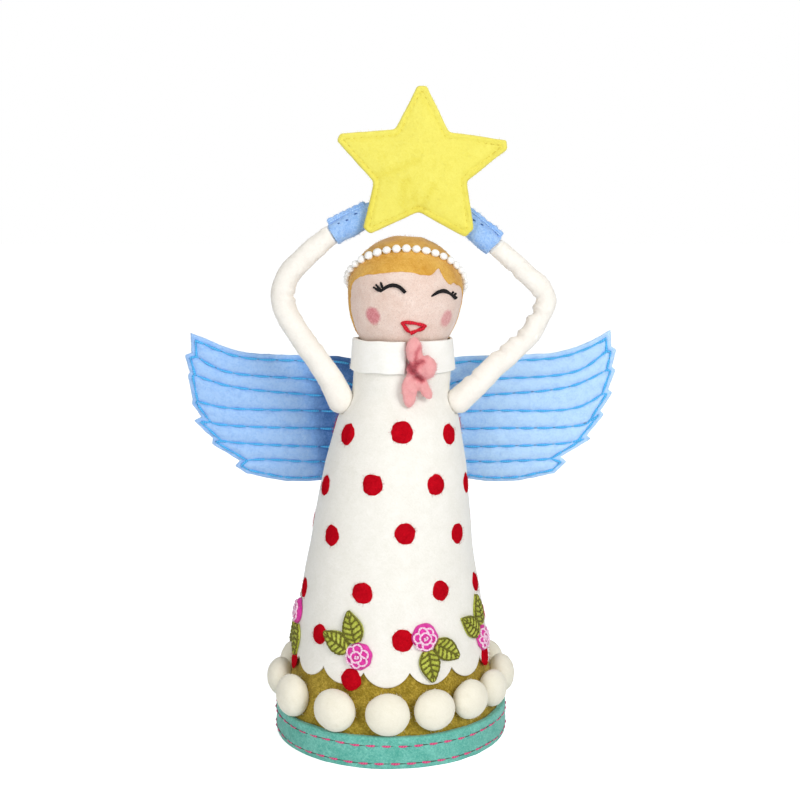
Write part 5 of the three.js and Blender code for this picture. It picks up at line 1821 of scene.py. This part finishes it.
def folded(piece, side):
    """Creases on the inner side of a bent sleeve, with the felt pushed up beside each."""
    points = points_of(piece)
    normals = normals_of(piece)
    line = arm_line(side, 240)
    lengths = np.linspace(0, np.linalg.norm(np.diff(line, axis=0), axis=1).sum(), 240)
    along = lengths[np.argmin(((points[:, None] - line[None]) ** 2).sum(2), axis=1)]
    inner = np.clip(-ARMS[side]["sign"] * normals[:, 0] + 0.25 * normals[:, 1] + 0.3, 0, 1)
    shift = np.zeros(len(points))
    for share, depth in FOLDS[side]:
        away = (along - share * lengths[-1]) / FOLD_WIDE + 0.8 * normals[:, 1]
        shift += depth * (CREASE_PUSH * bell(np.abs(away) - CREASE_SIDE) - bell(away))
    put_points(piece, points + normals * (shift * inner)[:, None])


for side in ARMS:
    arm = shape_object(f"arm_{side}_felt", arm_shape(side), sleeve_felt)
    folded(arm, side)
    hand_worked(arm, 0.4, 8, 41)
    wrinkled(arm, 0.22, 9, 5, 42)
    settle(arm, "arms", "ivory_felt", [f"arm_{side}"])

# %% [markdown]
# ## Mittens
# A mitten is one piece of blue felt folded over the hand. Its two layers are sewn together along the
# upper side, where the edge is cut in scallops, and a fine ridge of thread runs along the seam. Each ring
# round the hand is an ellipse with the seam's flat strip growing out of its top.

# %% Mittens
MITTEN_LENGTH = 26.0
MITTEN_HALF_WIDTH = 5.4
MITTEN_HALF_DEPTH = 4.2
MITTEN_SHIFT = -0.7
MITTEN_ROWS = [
    (0, 0.9, 1), (0.25, 1, 1), (0.6, 1, 0.9), (0.85, 0.82, 0.72), (0.97, 0.5, 0.42), (1, 0.2, 0.16),
]
SEAM_START = 0.7
SEAM_END = 20.0
SEAM_REACH = 7.3
SEAM_TAPER = 1.7
SEAM_SCALLOPS = 6
SEAM_SCALLOP_DEPTH = 0.55
SEAM_HALF_FELT = 1.0
SEAM_FADE = 0.6
SCALLOP_POWER = 0.55
MITTEN_LINING = ((1.6, 0.3), (1.6, 1), (0.3, 1))
LINING_SIZE = (0.8, 0.76)
RIDGE_START = (1.0, 5.0)
RIDGE_END = (19.0, 3.9)
WRIST_GAP = 0.3
SHORT_STITCHES = {
    "left": [(4.9, 2.5), (8.9, 1.9), (13.8, 2.4)],
    "right": [(10.9, 2.8), (14.8, 1.8), (17.2, -0.1)],
}


def mitten_half(along):
    """Half the width and half the depth of a mitten at a distance from its cuff."""
    rows = np.array(MITTEN_ROWS)
    share = along / MITTEN_LENGTH
    near = np.clip(share + np.array([-0.05, 0.0, 0.05]), 0, 1)
    width = float(np.mean(np.interp(near, rows[:, 0], rows[:, 1])))
    depth = float(np.mean(np.interp(near, rows[:, 0], rows[:, 2])))
    return MITTEN_HALF_WIDTH * min(width, 1), MITTEN_HALF_DEPTH * min(depth, 1)


def seam_reach(along):
    """How far the scalloped edge stands from the hand's middle line."""
    pitch = (SEAM_END - SEAM_START) / SEAM_SCALLOPS
    phase = ((SEAM_END - along) / pitch) % 1
    reach = SEAM_REACH - SEAM_TAPER * along / SEAM_END
    reach -= SEAM_SCALLOP_DEPTH * (1 - math.sin(math.pi * phase) ** SCALLOP_POWER)
    from_start, from_end = along - SEAM_START + SEAM_FADE, SEAM_END + SEAM_FADE - along
    return reach * min(1.0, max(0.0, from_start / SEAM_FADE), max(0.0, from_end / SEAM_FADE))


def mitten_ring(along):
    half_width, half_depth = mitten_half(along)
    strip = min(SEAM_HALF_FELT, half_depth * 0.8)
    first = math.asin(strip / half_depth)
    angles = np.linspace(first, FULL_TURN - first, 44)
    hand = np.stack([MITTEN_SHIFT + half_width * np.cos(angles), half_depth * np.sin(angles)], 1)
    root = hand[0, 0]
    reach = max(root + 0.5, seam_reach(along))
    steps = np.linspace(0, 1, 7)[1:-1]
    up = [(root + (reach - 0.4 - root) * s, -strip * (1 - 0.15 * s)) for s in steps]
    edge = [(reach - 0.1, -strip * 0.6), (reach - 0.3, 0.0), (reach - 0.1, strip * 0.6)]
    down = [(y, -z) for y, z in up[::-1]]
    return np.vstack([hand, up, edge, down])


def hand_points(side, along, across, out):
    """Points by the distance along the hand from its cuff, across it, and out of its front."""
    ways = hand_ways(side)
    wrist = arm_line(side, 2)[-1] + ways[0] * WRIST_GAP
    along, across, out = np.broadcast_arrays(*(np.asarray(v, float) for v in (along, across, out)))
    return wrist + np.stack([along, across, out], -1) @ ways


def mitten_shape(side):
    cuff = mitten_ring(0.0)
    opening = cuff * LINING_SIZE
    rings = [hand_points(side, along, *(opening * size).T) for along, size in MITTEN_LINING]
    lip = (cuff + opening) / 2
    rings.append(hand_points(side, 0.0, *(lip * 0.99).T))
    rings.append(hand_points(side, 0.02, *(cuff * 0.985).T))
    for along in np.concatenate([np.linspace(0.3, 21, 96), np.linspace(21.3, 25.9, 14)]):
        rings.append(hand_points(side, along, *mitten_ring(along).T))
    return skin(rings)


for side in ARMS:
    name, worked = f"mitten_{side}", (0.5, 6, 43)
    mitten = felt_piece(name + "_felt", mitten_shape(side), blue_felt, worked, "arms", "blue_felt", [name])

# %% Seam ridges and short stitches
def mitten_front(along, across):
    """How far the front of a mitten stands out at a place on it."""
    half_width, half_depth = mitten_half(along)
    share = min(0.98, abs(across - MITTEN_SHIFT) / half_width)
    return max(SEAM_HALF_FELT, half_depth * math.sqrt(1 - share**2))


seam_thread = thread("seam_thread", "#BBDCFF", "#8DBCF2")
navy_thread = thread("navy_thread", "#3E6DB4", "#264C8C")
for side in ARMS:
    front = hand_ways(side)[2]
    ridge = smooth_line([RIDGE_START, (10.0, 4.6), RIDGE_END], 60)
    heights = np.array([mitten_front(x, y) for x, y in ridge]) + 0.1
    ridges = [hand_points(side, ridge[:, 0], ridge[:, 1], sign * heights) for sign in (1, -1)]
    faces = [front, -front]
    sizes = (3.4, 0.98, 0.75, 0.2)
    stitches(f"mitten_{side}_ridge", ridges, faces, seam_thread, sizes, "arms", "blue_felt")
    short = []
    for x, y in SHORT_STITCHES[side]:
        line = np.array([(x - 0.75, y + 0.2), (x, y), (x + 0.75, y - 0.25)])
        out = np.array([mitten_front(a, b) for a, b in line]) + THREAD_GAP
        short.append(hand_points(side, line[:, 0], line[:, 1], out))
    sizes = (1.6, 1.0, 0.7, 0.4)
    stitches(f"mitten_{side}_stitches", short, [front] * 3, navy_thread, sizes, "arms", "wire")

# %% [markdown]
# ## Star
# The star is two layers of yellow felt, cut with blunt tips, sewn together near the edge over a thin
# filling. Each layer is a stack of rings: round the cut edge, over the front with a dip where the thread
# pulls it in, and back inside. A few soft creases start from the lower notch, where the hands hold it.

# %% Star outline
STAR_PLACE = np.array([14.1, -14.35, 267.4])
STAR_TILT = math.radians(2.3)
STAR_CORNERS = [
    [(-3.4, 35.5), (0.7, 35.7)], [(11.8, 15.8)], [(37.7, 13.3), (38.2, 9.2)], [(20.6, -5.6)],
    [(24.7, -26.9), (21.2, -30.6)], [(-0.6, -20.1)], [(-22.0, -30.8), (-25.2, -28.4)], [(-21.3, -7.6)],
    [(-38.6, 10.2), (-37.2, 13.2)], [(-12.5, 16.1)],
]
STAR_FELT = 2.0
STAR_GAP = 0.15
STAR_SWELL = 2.2
SWELL_EDGE = 9.0
SWELL_REACH = 21.0
STAR_CUTS = (1.3, 1.8)
CUT_SHARE = 0.42
STAR_STITCH_INSET = 2.6
STITCH_DIP = 0.32
RIM_RISE = 0.16
CREASE_DIP = 0.28


def star_outline(inset=0.0):
    """The star's edge, or a line a distance inside it, with blunt rounded tips and soft notches."""
    corners = np.array([place for group in STAR_CORNERS for place in group])
    tips = [i for group in STAR_CORNERS for i in (len(group) == 2,) * len(group)]
    count = len(corners)
    ways = unit(np.roll(corners, -1, 0) - corners)
    starts = corners + np.stack([ways[:, 1], -ways[:, 0]], 1) * inset

    def meet(i, j):
        """Where the moved side before a corner meets the moved side after it."""
        along = np.linalg.solve(np.stack([ways[i], -ways[j]], 1), starts[j] - starts[i])[0]
        return starts[i] + ways[i] * along

    moved = [meet(i - 1, i) for i in range(count)]
    for i in range(count):
        after = (i + 1) % count
        if tips[i] and tips[after] and (moved[after] - moved[i]) @ ways[i] < 0.2:
            point = meet(i - 1, after)
            moved[i], moved[after] = point - ways[i] * 0.1, point + ways[i] * 0.1
    outline = []
    bend = np.linspace(0, 1, 7)[:, None]
    straight = np.linspace(0, 1, 13)[1:-1, None]
    gaps = [np.linalg.norm(moved[(i + 1) % count] - moved[i]) for i in range(count)]
    cuts = [min(STAR_CUTS[not tips[i]], CUT_SHARE * gaps[i - 1], CUT_SHARE * gaps[i]) for i in range(count)]
    for i in range(count):
        after = (i + 1) % count
        way_in = (moved[i] - moved[i - 1]) / gaps[i - 1]
        way_on = (moved[after] - moved[i]) / gaps[i]
        first, last = moved[i] - way_in * cuts[i], moved[i] + way_on * cuts[i]
        outline.append(first * (1 - bend) ** 2 + moved[i] * 2 * bend * (1 - bend) + last * bend**2)
        outline.append(last + (moved[after] - way_on * cuts[after] - last) * straight)
    return np.vstack(outline)


def star_points(flat, depth):
    """Points of the star's own plane, across and up, and a depth towards the viewer."""
    across = flat[:, 0] * math.cos(STAR_TILT) + flat[:, 1] * math.sin(STAR_TILT)
    up = flat[:, 1] * math.cos(STAR_TILT) - flat[:, 0] * math.sin(STAR_TILT)
    return STAR_PLACE + np.stack([across, -np.broadcast_to(depth, across.shape), up], 1)


# %% Star layers
RIM_ROUND = 0.8
STAR_INSETS = (0.8, 1.2, 1.6, 1.95, 2.3, 2.65, 3.0, 3.5, 4.1)
CREASES = [
    [(-1.5, -20.5), (-3.5, -13), (-6, -6)], [(0.5, -20.5), (1.5, -14.5), (5, -9)],
    [(-6, -22.5), (-8, -15), (-8, -7)], [(-19, -4), (-10, -1), (-2, 3)],
]
star_edge = star_outline()


def star_swell(flat):
    """How far the filling lifts the felt: most in the middle, and nothing at the edge."""
    inside = np.clip(distance_to_line(flat, star_edge) / SWELL_EDGE, 0, 1)
    middle = bell(np.linalg.norm(flat, axis=1) / SWELL_REACH)
    return STAR_SWELL * middle * inside**2 * (3 - 2 * inside)


def star_front_depth(flat, inset):
    """Depth of the outer side of a layer: its swell, the dip at the stitches and the creases."""
    depth = STAR_GAP + STAR_FELT + star_swell(flat)
    depth -= STITCH_DIP * bell((inset - STAR_STITCH_INSET) / 0.55)
    depth += RIM_RISE * bell((inset - 1.1) / 0.5)
    for crease in CREASES:
        depth -= CREASE_DIP * bell(distance_to_line(flat, smooth_line(crease, 30)) / 1.6)
    return depth


def star_layer(side):
    """One layer: side is 1 for the front and -1 for the back."""
    inner_flat = star_outline(STAR_INSETS[-1])
    shares = np.concatenate([np.linspace(0.94, 0.12, 22), [0.05]])
    front = [(star_outline(inset), inset) for inset in STAR_INSETS]
    front += [(inner_flat * share, 9.0) for share in shares]
    rings = [star_points(flat, side * star_front_depth(flat, inset)) for flat, inset in front[::-1]]
    middle = STAR_GAP + STAR_FELT / 2
    for angle in np.radians([60, 30, 0, -30, -60]):
        flat = star_outline(RIM_ROUND * (1 - math.cos(angle)))
        rings.append(star_points(flat, side * (middle + STAR_FELT / 2 * math.sin(angle))))
    inside = [star_outline(inset) for inset in STAR_INSETS[::3]] + [inner_flat * s for s in shares[::4]]
    rings += [star_points(flat, side * (STAR_GAP + star_swell(flat))) for flat in inside]
    return skin(rings)


yellow_shaded_felt = painted_shade_wool("yellow_felt", [(0, "#EDE46C"), (0.4, "#E4D754"), (1, "#C6B02E")], 0.4, 0.4)
for name, side in (("star_front", 1), ("star_back", -1)):
    layer = shape_object(name + "_felt", star_layer(side), yellow_shaded_felt)
    hand_worked(layer, 0.28, 9, 51)
    hand_worked(layer, 0.12, 2.5, 52)
    points = points_of(layer) - STAR_PLACE
    flat = np.stack([points[:, 0], points[:, 2]], 1)
    edge_away = distance_to_line(flat, star_edge)
    # Painted shade: the felt darkens at the rim, most along the lower edges, and along the stitch line and
    # the creases.
    shade = 0.14 + 0.3 * bell(edge_away / 1.3) * np.clip(0.6 - flat[:, 1] / 30, 0, 1)
    shade += 0.12 * bell((edge_away - STAR_STITCH_INSET) / 0.8)
    for crease in CREASES:
        shade += 0.18 * bell(distance_to_line(flat, smooth_line(crease, 40)) / 1.8)
    set_shade(layer, shade)
    settle(layer, "star", "yellow_felt", [name])

# %% Star filling and stitches
fill_rings = []
FILL_EDGE = 0.77
FILL_ROOM = 0.25
outwards, back_in = np.linspace(0.1, 0.72, 9), np.linspace(0.72, 0.1, 9)
for side, shares in ((1, [*outwards, FILL_EDGE]), (-1, [FILL_EDGE, *back_in])):
    for share in shares:
        flat = star_edge * share
        fill_rings.append(star_points(flat, side * np.maximum(STAR_GAP, star_swell(flat) - FILL_ROOM)))
padding, worked, nodes = skin(fill_rings), (0.1, 4, 53), ["star_filling"]
filling = felt_piece("star_filling_wool", padding, ball_wool, worked, "star", "wool_filling", nodes)

star_seam = star_outline(STAR_STITCH_INSET)
star_seam = np.vstack([star_seam, star_seam[:1]])
seam_depth = STAR_GAP + STAR_FELT - 0.25
star_rows = [star_points(star_seam, side * seam_depth) for side in (1, -1)]
star_ways = [np.array([0, -1.0, 0]), np.array([0, 1.0, 0])]
sizes = (3.1, 0.68, 0.45, 0.5)
stitches("star_stitches", star_rows, star_ways, yellow_thread, sizes, "star", "yellow_felt")

# %% [markdown]
# ## Wings
# Each wing is two layers of blue felt with a thin wadding between them, quilted into seven feathers. The
# cut edge shows a notch between feathers, and bright thread runs from the root along each seam, out round
# the next feather's tip and back to the next notch. The felt is pulled thin along the thread and puffs up
# between, so the thickness of every point comes from its distance to the nearest line of thread. Painted
# shade darkens the felt along the thread, and near the body the front of each wing carries a painted
# shadow of the body, deep on the left wing and faint on the right. The right wing's felt is also painted
# a lighter blue than the left's, as a lit and a shaded copy of one felt.

# %% Wing lines
WING_PLACE = np.array([4.6, 36.05, 112.2])
WING_SLANT = math.atan(0.224)
WING_REACH = 105.0
WING_HEIGHT = 80.0
WING_ROOT = 5.2
WING_PUFF = 4.4
WING_CHANNEL = 1.9
WING_EDGE = 1.8
FEATHERS = 7
ROOT_HIGH = 0.57
ROOT_LOW = 0.16
TOP_EDGE = [(0.15, 0.76), (0.248, 0.826), (0.419, 0.84), (0.7, 0.857), (0.8, 0.888), (0.886, 0.938)]
LOW_EDGE = [(0.15, 0.07), (0.337, 0.019), (0.424, 0.004), (0.552, 0.005), (0.654, 0.031), (0.742, 0.058)]
QUILT = [
    (0.691, (0.825, 0.746)), (0.589, (0.8, 0.646)), (0.485, (0.831, 0.506)), (0.368, (0.884, 0.401)),
    (0.246, (0.827, 0.278)), (0.143, (0.68, 0.158)),
]
QUILT_BEND = 0.24
QUILT_INNER = 0.42
QUILT_DROP = 0.15
TIPS = {
    "left": [
        (0.971, 0.984), (1.004, 0.848), (0.995, 0.72), (0.986, 0.53), (0.985, 0.42), (0.907, 0.263),
        (0.796, 0.109),
    ],
    "right": [
        (0.971, 1.005), (1.002, 0.883), (1.006, 0.754), (0.999, 0.605), (0.969, 0.463), (0.916, 0.299),
        (0.8, 0.14),
    ],
}
NOTCHES = {
    "left": [(0.972, 0.858), (0.985, 0.73), (0.98, 0.556), (0.942, 0.438), (0.895, 0.298), (0.77, 0.143)],
    "right": [
        (0.979, 0.896), (0.988, 0.769), (0.977, 0.62), (0.947, 0.478), (0.888, 0.314), (0.769, 0.169),
    ],
}
WING_COLUMNS = 112
FEATHER_ROWS = 14
BEND_SHARE = 7 / 8
END_SHARES = [(0, 0.0), (0.16, 0.05), (0.5, 0.45), (0.84, 0.9), (1, 1.0)]
THREAD_INSET = 2.5


def wing_size(shares):
    return np.asarray(shares, float) * (WING_REACH, WING_HEIGHT)


def feather_lines(side, count):
    """The seams between feathers, with the wing's top and bottom edges, from the root outwards."""
    lines = []
    for i in range(FEATHERS + 1):
        root = ROOT_HIGH + (ROOT_LOW - ROOT_HIGH) * i / FEATHERS
        if i == 0:
            rest = [*TOP_EDGE, TIPS[side][0]]
        elif i == FEATHERS:
            rest = LOW_EDGE
        else:
            inner, knee = QUILT[i - 1]
            bend = inner + (root - inner) * QUILT_DROP
            rest = [(QUILT_BEND, bend), (QUILT_INNER, inner), knee, NOTCHES[side][i - 1]]
        lines.append(smooth_line(wing_size([(WING_ROOT / WING_REACH, root), *rest]), count))
    return lines


def wing_grid(side):
    """Rows of points over a wing, from its top edge to its lower edge."""
    lines = feather_lines(side, WING_COLUMNS + 1)
    bend = round(WING_COLUMNS * BEND_SHARE)
    out = np.clip((np.arange(WING_COLUMNS + 1) - bend) / (WING_COLUMNS - bend), 0, 1)[:, None]
    rows = []
    for i in range(FEATHERS):
        tip = wing_size(TIPS[side][i])
        for share in np.arange(FEATHER_ROWS) / FEATHER_ROWS:
            row = lines[i] + (lines[i + 1] - lines[i]) * share
            if share > 0:
                corner, notch = END_SHARES[1][0], lines[i][-1]
                start = tip if share >= corner else notch + (tip - notch) * share / corner
                reach = np.interp(share, *zip(*END_SHARES))
                end = start + (lines[i + 1][-1] - start) * reach
                row = np.where(out > 0, row[bend] + (end - row[bend]) * out, row)
            rows.append(row)
    rows.append(lines[-1])
    return np.array(rows)


def inset_line(line, distance):
    """A line moved sideways: a positive distance moves it to the right of its way."""
    ways = unit(np.gradient(line, axis=0))
    return line + np.stack([ways[:, 1], -ways[:, 0]], 1) * distance


def crossing(first, first_way, second, second_way):
    along = np.linalg.solve(np.stack([first_way, -second_way], 1), second - first)[0]
    return first + first_way * along


def thread_lines(side):
    """The lines that the thread follows on a wing, in its own plane."""
    lines = feather_lines(side, 240)
    tips = wing_size(TIPS[side])
    ends = [line[-1] for line in lines]
    joins, corners = [], []
    for i in range(FEATHERS):
        edge = unit(ends[i + 1] - tips[i])
        inner_edge = tips[i] + np.array([edge[1], -edge[0]]) * THREAD_INSET
        upper = unit(tips[i] - (lines[0][-12] if i == 0 else ends[i]))
        upper_start = tips[i] + np.array([upper[1], -upper[0]]) * (THREAD_INSET * 0.8)
        corners.append(crossing(inner_edge, edge, upper_start, upper))
        last = lines[i + 1] if i < FEATHERS - 1 else inset_line(lines[-1], -THREAD_INSET)
        clear = np.abs((last - inner_edge) @ np.array([edge[1], -edge[0]]))
        near = np.argmin(clear[120:]) + 120
        joins.append(last[: near + 1])
    top = inset_line(lines[0], THREAD_INSET)
    top = top[: np.argmin(np.linalg.norm(top - corners[0], axis=1)) - 2]
    paths = [np.vstack([top, corners[0], joins[0][-1]])]
    for i in range(1, FEATHERS - 1):
        paths.append(np.vstack([joins[i - 1], corners[i], joins[i][-1]]))
    paths.append(np.vstack([joins[-2], corners[-1], joins[-1][::-1]]))
    return paths


def wing_points(side, flat, depth):
    """Points of a wing's own plane, out and up, and a depth from its front, as points of the model."""
    x = ARMS[side]["sign"] * flat[:, 0]
    y = np.broadcast_to(depth, x.shape)
    cosine, sine = math.cos(WING_SLANT), math.sin(WING_SLANT)
    return WING_PLACE + np.stack([x, y * cosine - flat[:, 1] * sine, y * sine + flat[:, 1] * cosine], 1)


# %% Wing pieces
PUFF_REACH = 4.2
PUFF_UNEVEN = 0.14
BACK_RAG = 0.12
# SEAM_SHADE is the painted shade along the thread, its darkness and width; the ROOT_ numbers place the
# painted shadow of the body on each wing's front near the root.
SEAM_SHADE = (0.3, 1.1)
ROOT_EDGE = 36.0
ROOT_FADE = (5.0, 8.0)
ROOT_SHADE = {"left": 0.85, "right": 0.15}


def filled_line(line, step=0.6):
    """The same line with points added so that none are far apart."""
    parts = []
    for a, b in zip(line, line[1:]):
        count = max(1, math.ceil(np.linalg.norm(b - a) / step))
        parts.append(a + (b - a) * np.linspace(0, 1, count, endpoint=False)[:, None])
    return np.vstack([*parts, line[-1:]])


def flat_noise(flat, size, layer):
    """A smooth random number from -1 to 1 for each point of the wing's plane."""
    return np.array([noise.noise(Vector((x / size, z / size, layer))) for x, z in flat])


def wing_thickness(side, flat, outline):
    threads = np.vstack([filled_line(path) for path in thread_lines(side)])
    thread_away = distance_to_line(flat, threads)
    edge_away = distance_to_line(flat, outline)
    rise = 1 - (1 - np.clip(thread_away / PUFF_REACH, 0, 1)) ** 2
    inside = np.clip((edge_away - THREAD_INSET + 0.3) / 0.6, 0, 1)
    lumps = flat_noise(flat, 7, 2)
    puff = WING_CHANNEL + (WING_PUFF - WING_CHANNEL) * rise * (1 - PUFF_UNEVEN + PUFF_UNEVEN * lumps)
    rim = WING_EDGE * np.sqrt(np.clip(1 - (1 - np.clip(edge_away / 0.9, 0, 1)) ** 2, 0.04, 1))
    return rim + (puff - rim) * inside, thread_away


def wing_shape(side):
    grid = wing_grid(side)
    rows, columns = grid.shape[:2]
    flat = grid.reshape(-1, 2)
    ragged = flat_noise(flat, 2.2, 5)
    outline = filled_line(np.vstack([grid[0], grid[:, -1], grid[-1][::-1], grid[::-1, 0]]), 0.8)
    thickness, thread_away = wing_thickness(side, flat, outline)
    middle = WING_PUFF / 2 + BACK_RAG * ragged
    front = wing_points(side, flat, middle - thickness / 2)
    back = wing_points(side, flat, middle + thickness / 2)
    faces = []
    total = rows * columns
    for i in range(rows - 1):
        for j in range(columns - 1):
            a, b = i * columns + j, (i + 1) * columns + j
            faces.append([a, b, b + 1, a + 1])
            faces.append([a + total, a + 1 + total, b + 1 + total, b + total])
    rim = list(range(columns))
    rim += [i * columns + columns - 1 for i in range(1, rows)]
    rim += [(rows - 1) * columns + j for j in range(columns - 2, -1, -1)]
    rim += [i * columns for i in range(rows - 2, 0, -1)]
    faces += [[a, b, b + total, a + total] for a, b in zip(rim, rim[1:] + rim[:1])]
    # Painted shade along the thread on both faces; on the front only, hollow adds the painted shadow of the
    # body near the root.
    shade = bell(thread_away / SEAM_SHADE[1]) * SEAM_SHADE[0]
    fade = ROOT_FADE[0] + ROOT_FADE[1] * flat[:, 1] / WING_HEIGHT
    from_body = np.clip(flat[:, 0] - ROOT_EDGE, 0, None) / fade
    hollow = ROOT_SHADE[side] * bell(from_body)
    return (np.vstack([front, back]), faces), np.concatenate([shade + hollow, shade])


# Each wing's blues, pale to deep: the right is lighter than the left, a lit and a shaded copy of one blue
# felt, painted light.
WING_BLUES_BY_LIGHT = {"left": ("#A8CDF9", "#86B4EE", "#3F6EAE"), "right": ("#BCDEFF", "#9CC6F6", "#4474B4")}
deep_blue_thread = thread("deep_blue_thread", "#2F5E9E", "#1E4378")
for side in ARMS:
    shape, shade = wing_shape(side)
    wing_felt = painted_shade_wool(f"wing_{side}_wool", list(zip((0, 0.35, 1), WING_BLUES_BY_LIGHT[side])), 0.8, 0.6)
    wing = shape_object(f"wing_{side}_felt", shape, wing_felt)
    set_shade(wing, shade[: len(wing.data.vertices)])
    hand_worked(wing, 0.25, 4, 61)
    body = f"wing_{side}"
    settle(wing, body, "blue_felt", [body])
    rows, under_rows, ways = [], [], []
    for path in thread_lines(side):
        for face, depth in ((-1, (WING_PUFF - WING_CHANNEL) / 2), (1, (WING_PUFF + WING_CHANNEL) / 2)):
            out = wing_points(side, np.zeros((1, 2)), face)[0] - wing_points(side, np.zeros((1, 2)), 0)[0]
            rows.append(wing_points(side, path, depth + face * 0.15))
            under_rows.append(wing_points(side, path, depth + face * 0.05))
            ways.append(out)
    over, under = (9.0, 0.95, 1.25, 0.7), (9.0, 1.0, 0.6, 0.1)
    stitches(f"{body}_stitches", rows, ways, blue_thread, over, body, "blue_felt")
    # A thin deep blue thread under each row shows in the gaps between the stitches: painted shade in the
    # holes where the thread goes in.
    stitches(f"{body}_under_thread", under_rows, ways, deep_blue_thread, under, body, "wire")

# %% [markdown]
# ## Inside the cone
# A plug of wool fills the neck under the head. The card lining and the wire are right as they are packed,
# so they stay, and they only get finishes: grey-brown card with a fine grain, and drawn steel.

# %% Neck wad, card and wire
WAD_LOW = 162.3
WAD_HIGH = 175.0
WAD_RADIUS = 18.5
WAD_ROUND = 0.12


def wad_section():
    heights = np.linspace(WAD_LOW, WAD_HIGH, 9)
    middle = (WAD_LOW + WAD_HIGH) / 2
    half = (WAD_HIGH - WAD_LOW) / 2
    sides = [(WAD_RADIUS * (1 - WAD_ROUND * abs((z - middle) / half) ** 4), z) for z in heights]
    low = [(WAD_RADIUS * share, WAD_LOW) for share in (0.1, 0.4, 0.7)]
    high = [(WAD_RADIUS * share, WAD_HIGH) for share in (0.7, 0.4, 0.1)]
    return [*low, *sides, *high]


turns = turns_round(72)
wad_shape = skin([around(turns, radius, height) for radius, height in wad_section()])
worked = (0.25, 6, 71)
wad = felt_piece("neck_wad_wool", wad_shape, ball_wool, worked, "angel", "wool_filling", ["neck_wad"])


def refinish(node, material):
    """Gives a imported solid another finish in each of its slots."""
    solid = bpy.data.objects[node]
    for slot in solid.material_slots:
        slot.material = material
    print(node, "is finished with", material.name)


brown = ("#A98457", "#C9A87C")
steel = ("#9EA2A6", "#C6C9CC")
drawn = {"Roughness": 0.32, "Metallic": 1.0}
refinish("card_lining", mottled("brown_card", (700, 4, 0.65), *brown, 0.3, 0.0001, Roughness=0.85))
refinish("arm_wire", mottled("steel_wire", (900, 3, 0.6), *steel, 0.1, 0.00005, **drawn))

# %% [markdown]
# ## Loose fibres
# Last comes the halo. Each felt piece gets short fibres in its own finish, more where the wool is coarse,
# such as the olive band and the wings, and few on the smooth ivory cone. Under the dots, roses and leaves
# the cone gets none, so no pale fibre lies over them.

# %% Fuzz on the felt
DOT_MARGIN = 1.1
ROSE_MARGIN = 0.9
LEAF_COVER = 4.6
covers = [(place, DOT_RADIUS + DOT_MARGIN) for place in dot_points]
for sprig in SPRIGS:
    covers.append((over_body(sprig["turn"], sprig["height"], 0.0, 0.0, 0.0), ROSE_RADIUS + ROSE_MARGIN))
    for pointing in sprig["leaves"]:
        covers += [(over_leaf(sprig, pointing, share, 0.0, 0.0), LEAF_COVER) for share in (0.3, 0.55, 0.8)]
body_points = points_of(felt_body)
covered = np.zeros(len(body_points))
for place, reach in covers:
    covered[np.linalg.norm(body_points - place, axis=1) < reach] = 1
store(felt_body.data, "bare", covered)

FUZZ = [
    ("body_felt", 0.16, 0.8), ("collar_felt", 0.35, 0.8), ("olive_band_felt", 0.45, 1.2),
    ("foot_band_felt", 0.4, 0.8), ("hem_balls", 0.22, 1.0), ("bow_wool_piece", 2.2, 1.2),
    ("hair_felt", 0.35, 0.8), ("arm_left_felt", 0.5, 0.8), ("arm_right_felt", 0.5, 0.8),
    ("mitten_left_felt", 1.6, 0.9), ("mitten_right_felt", 1.6, 0.9), ("star_front_felt", 0.5, 0.9),
    ("star_back_felt", 0.35, 0.9), ("wing_left_felt", 0.4, 1.1), ("wing_right_felt", 0.4, 1.1),
]
for seed, (name, density, length) in enumerate(FUZZ, 81):
    fuzz(bpy.data.objects[name], density, length, seed)

# %% Finish
visual_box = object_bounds()
for label, box in (("packed", cad_box), ("dressed", visual_box)):
    print(label, [[round(v / MM, 1) for v in corner] for corner in box])
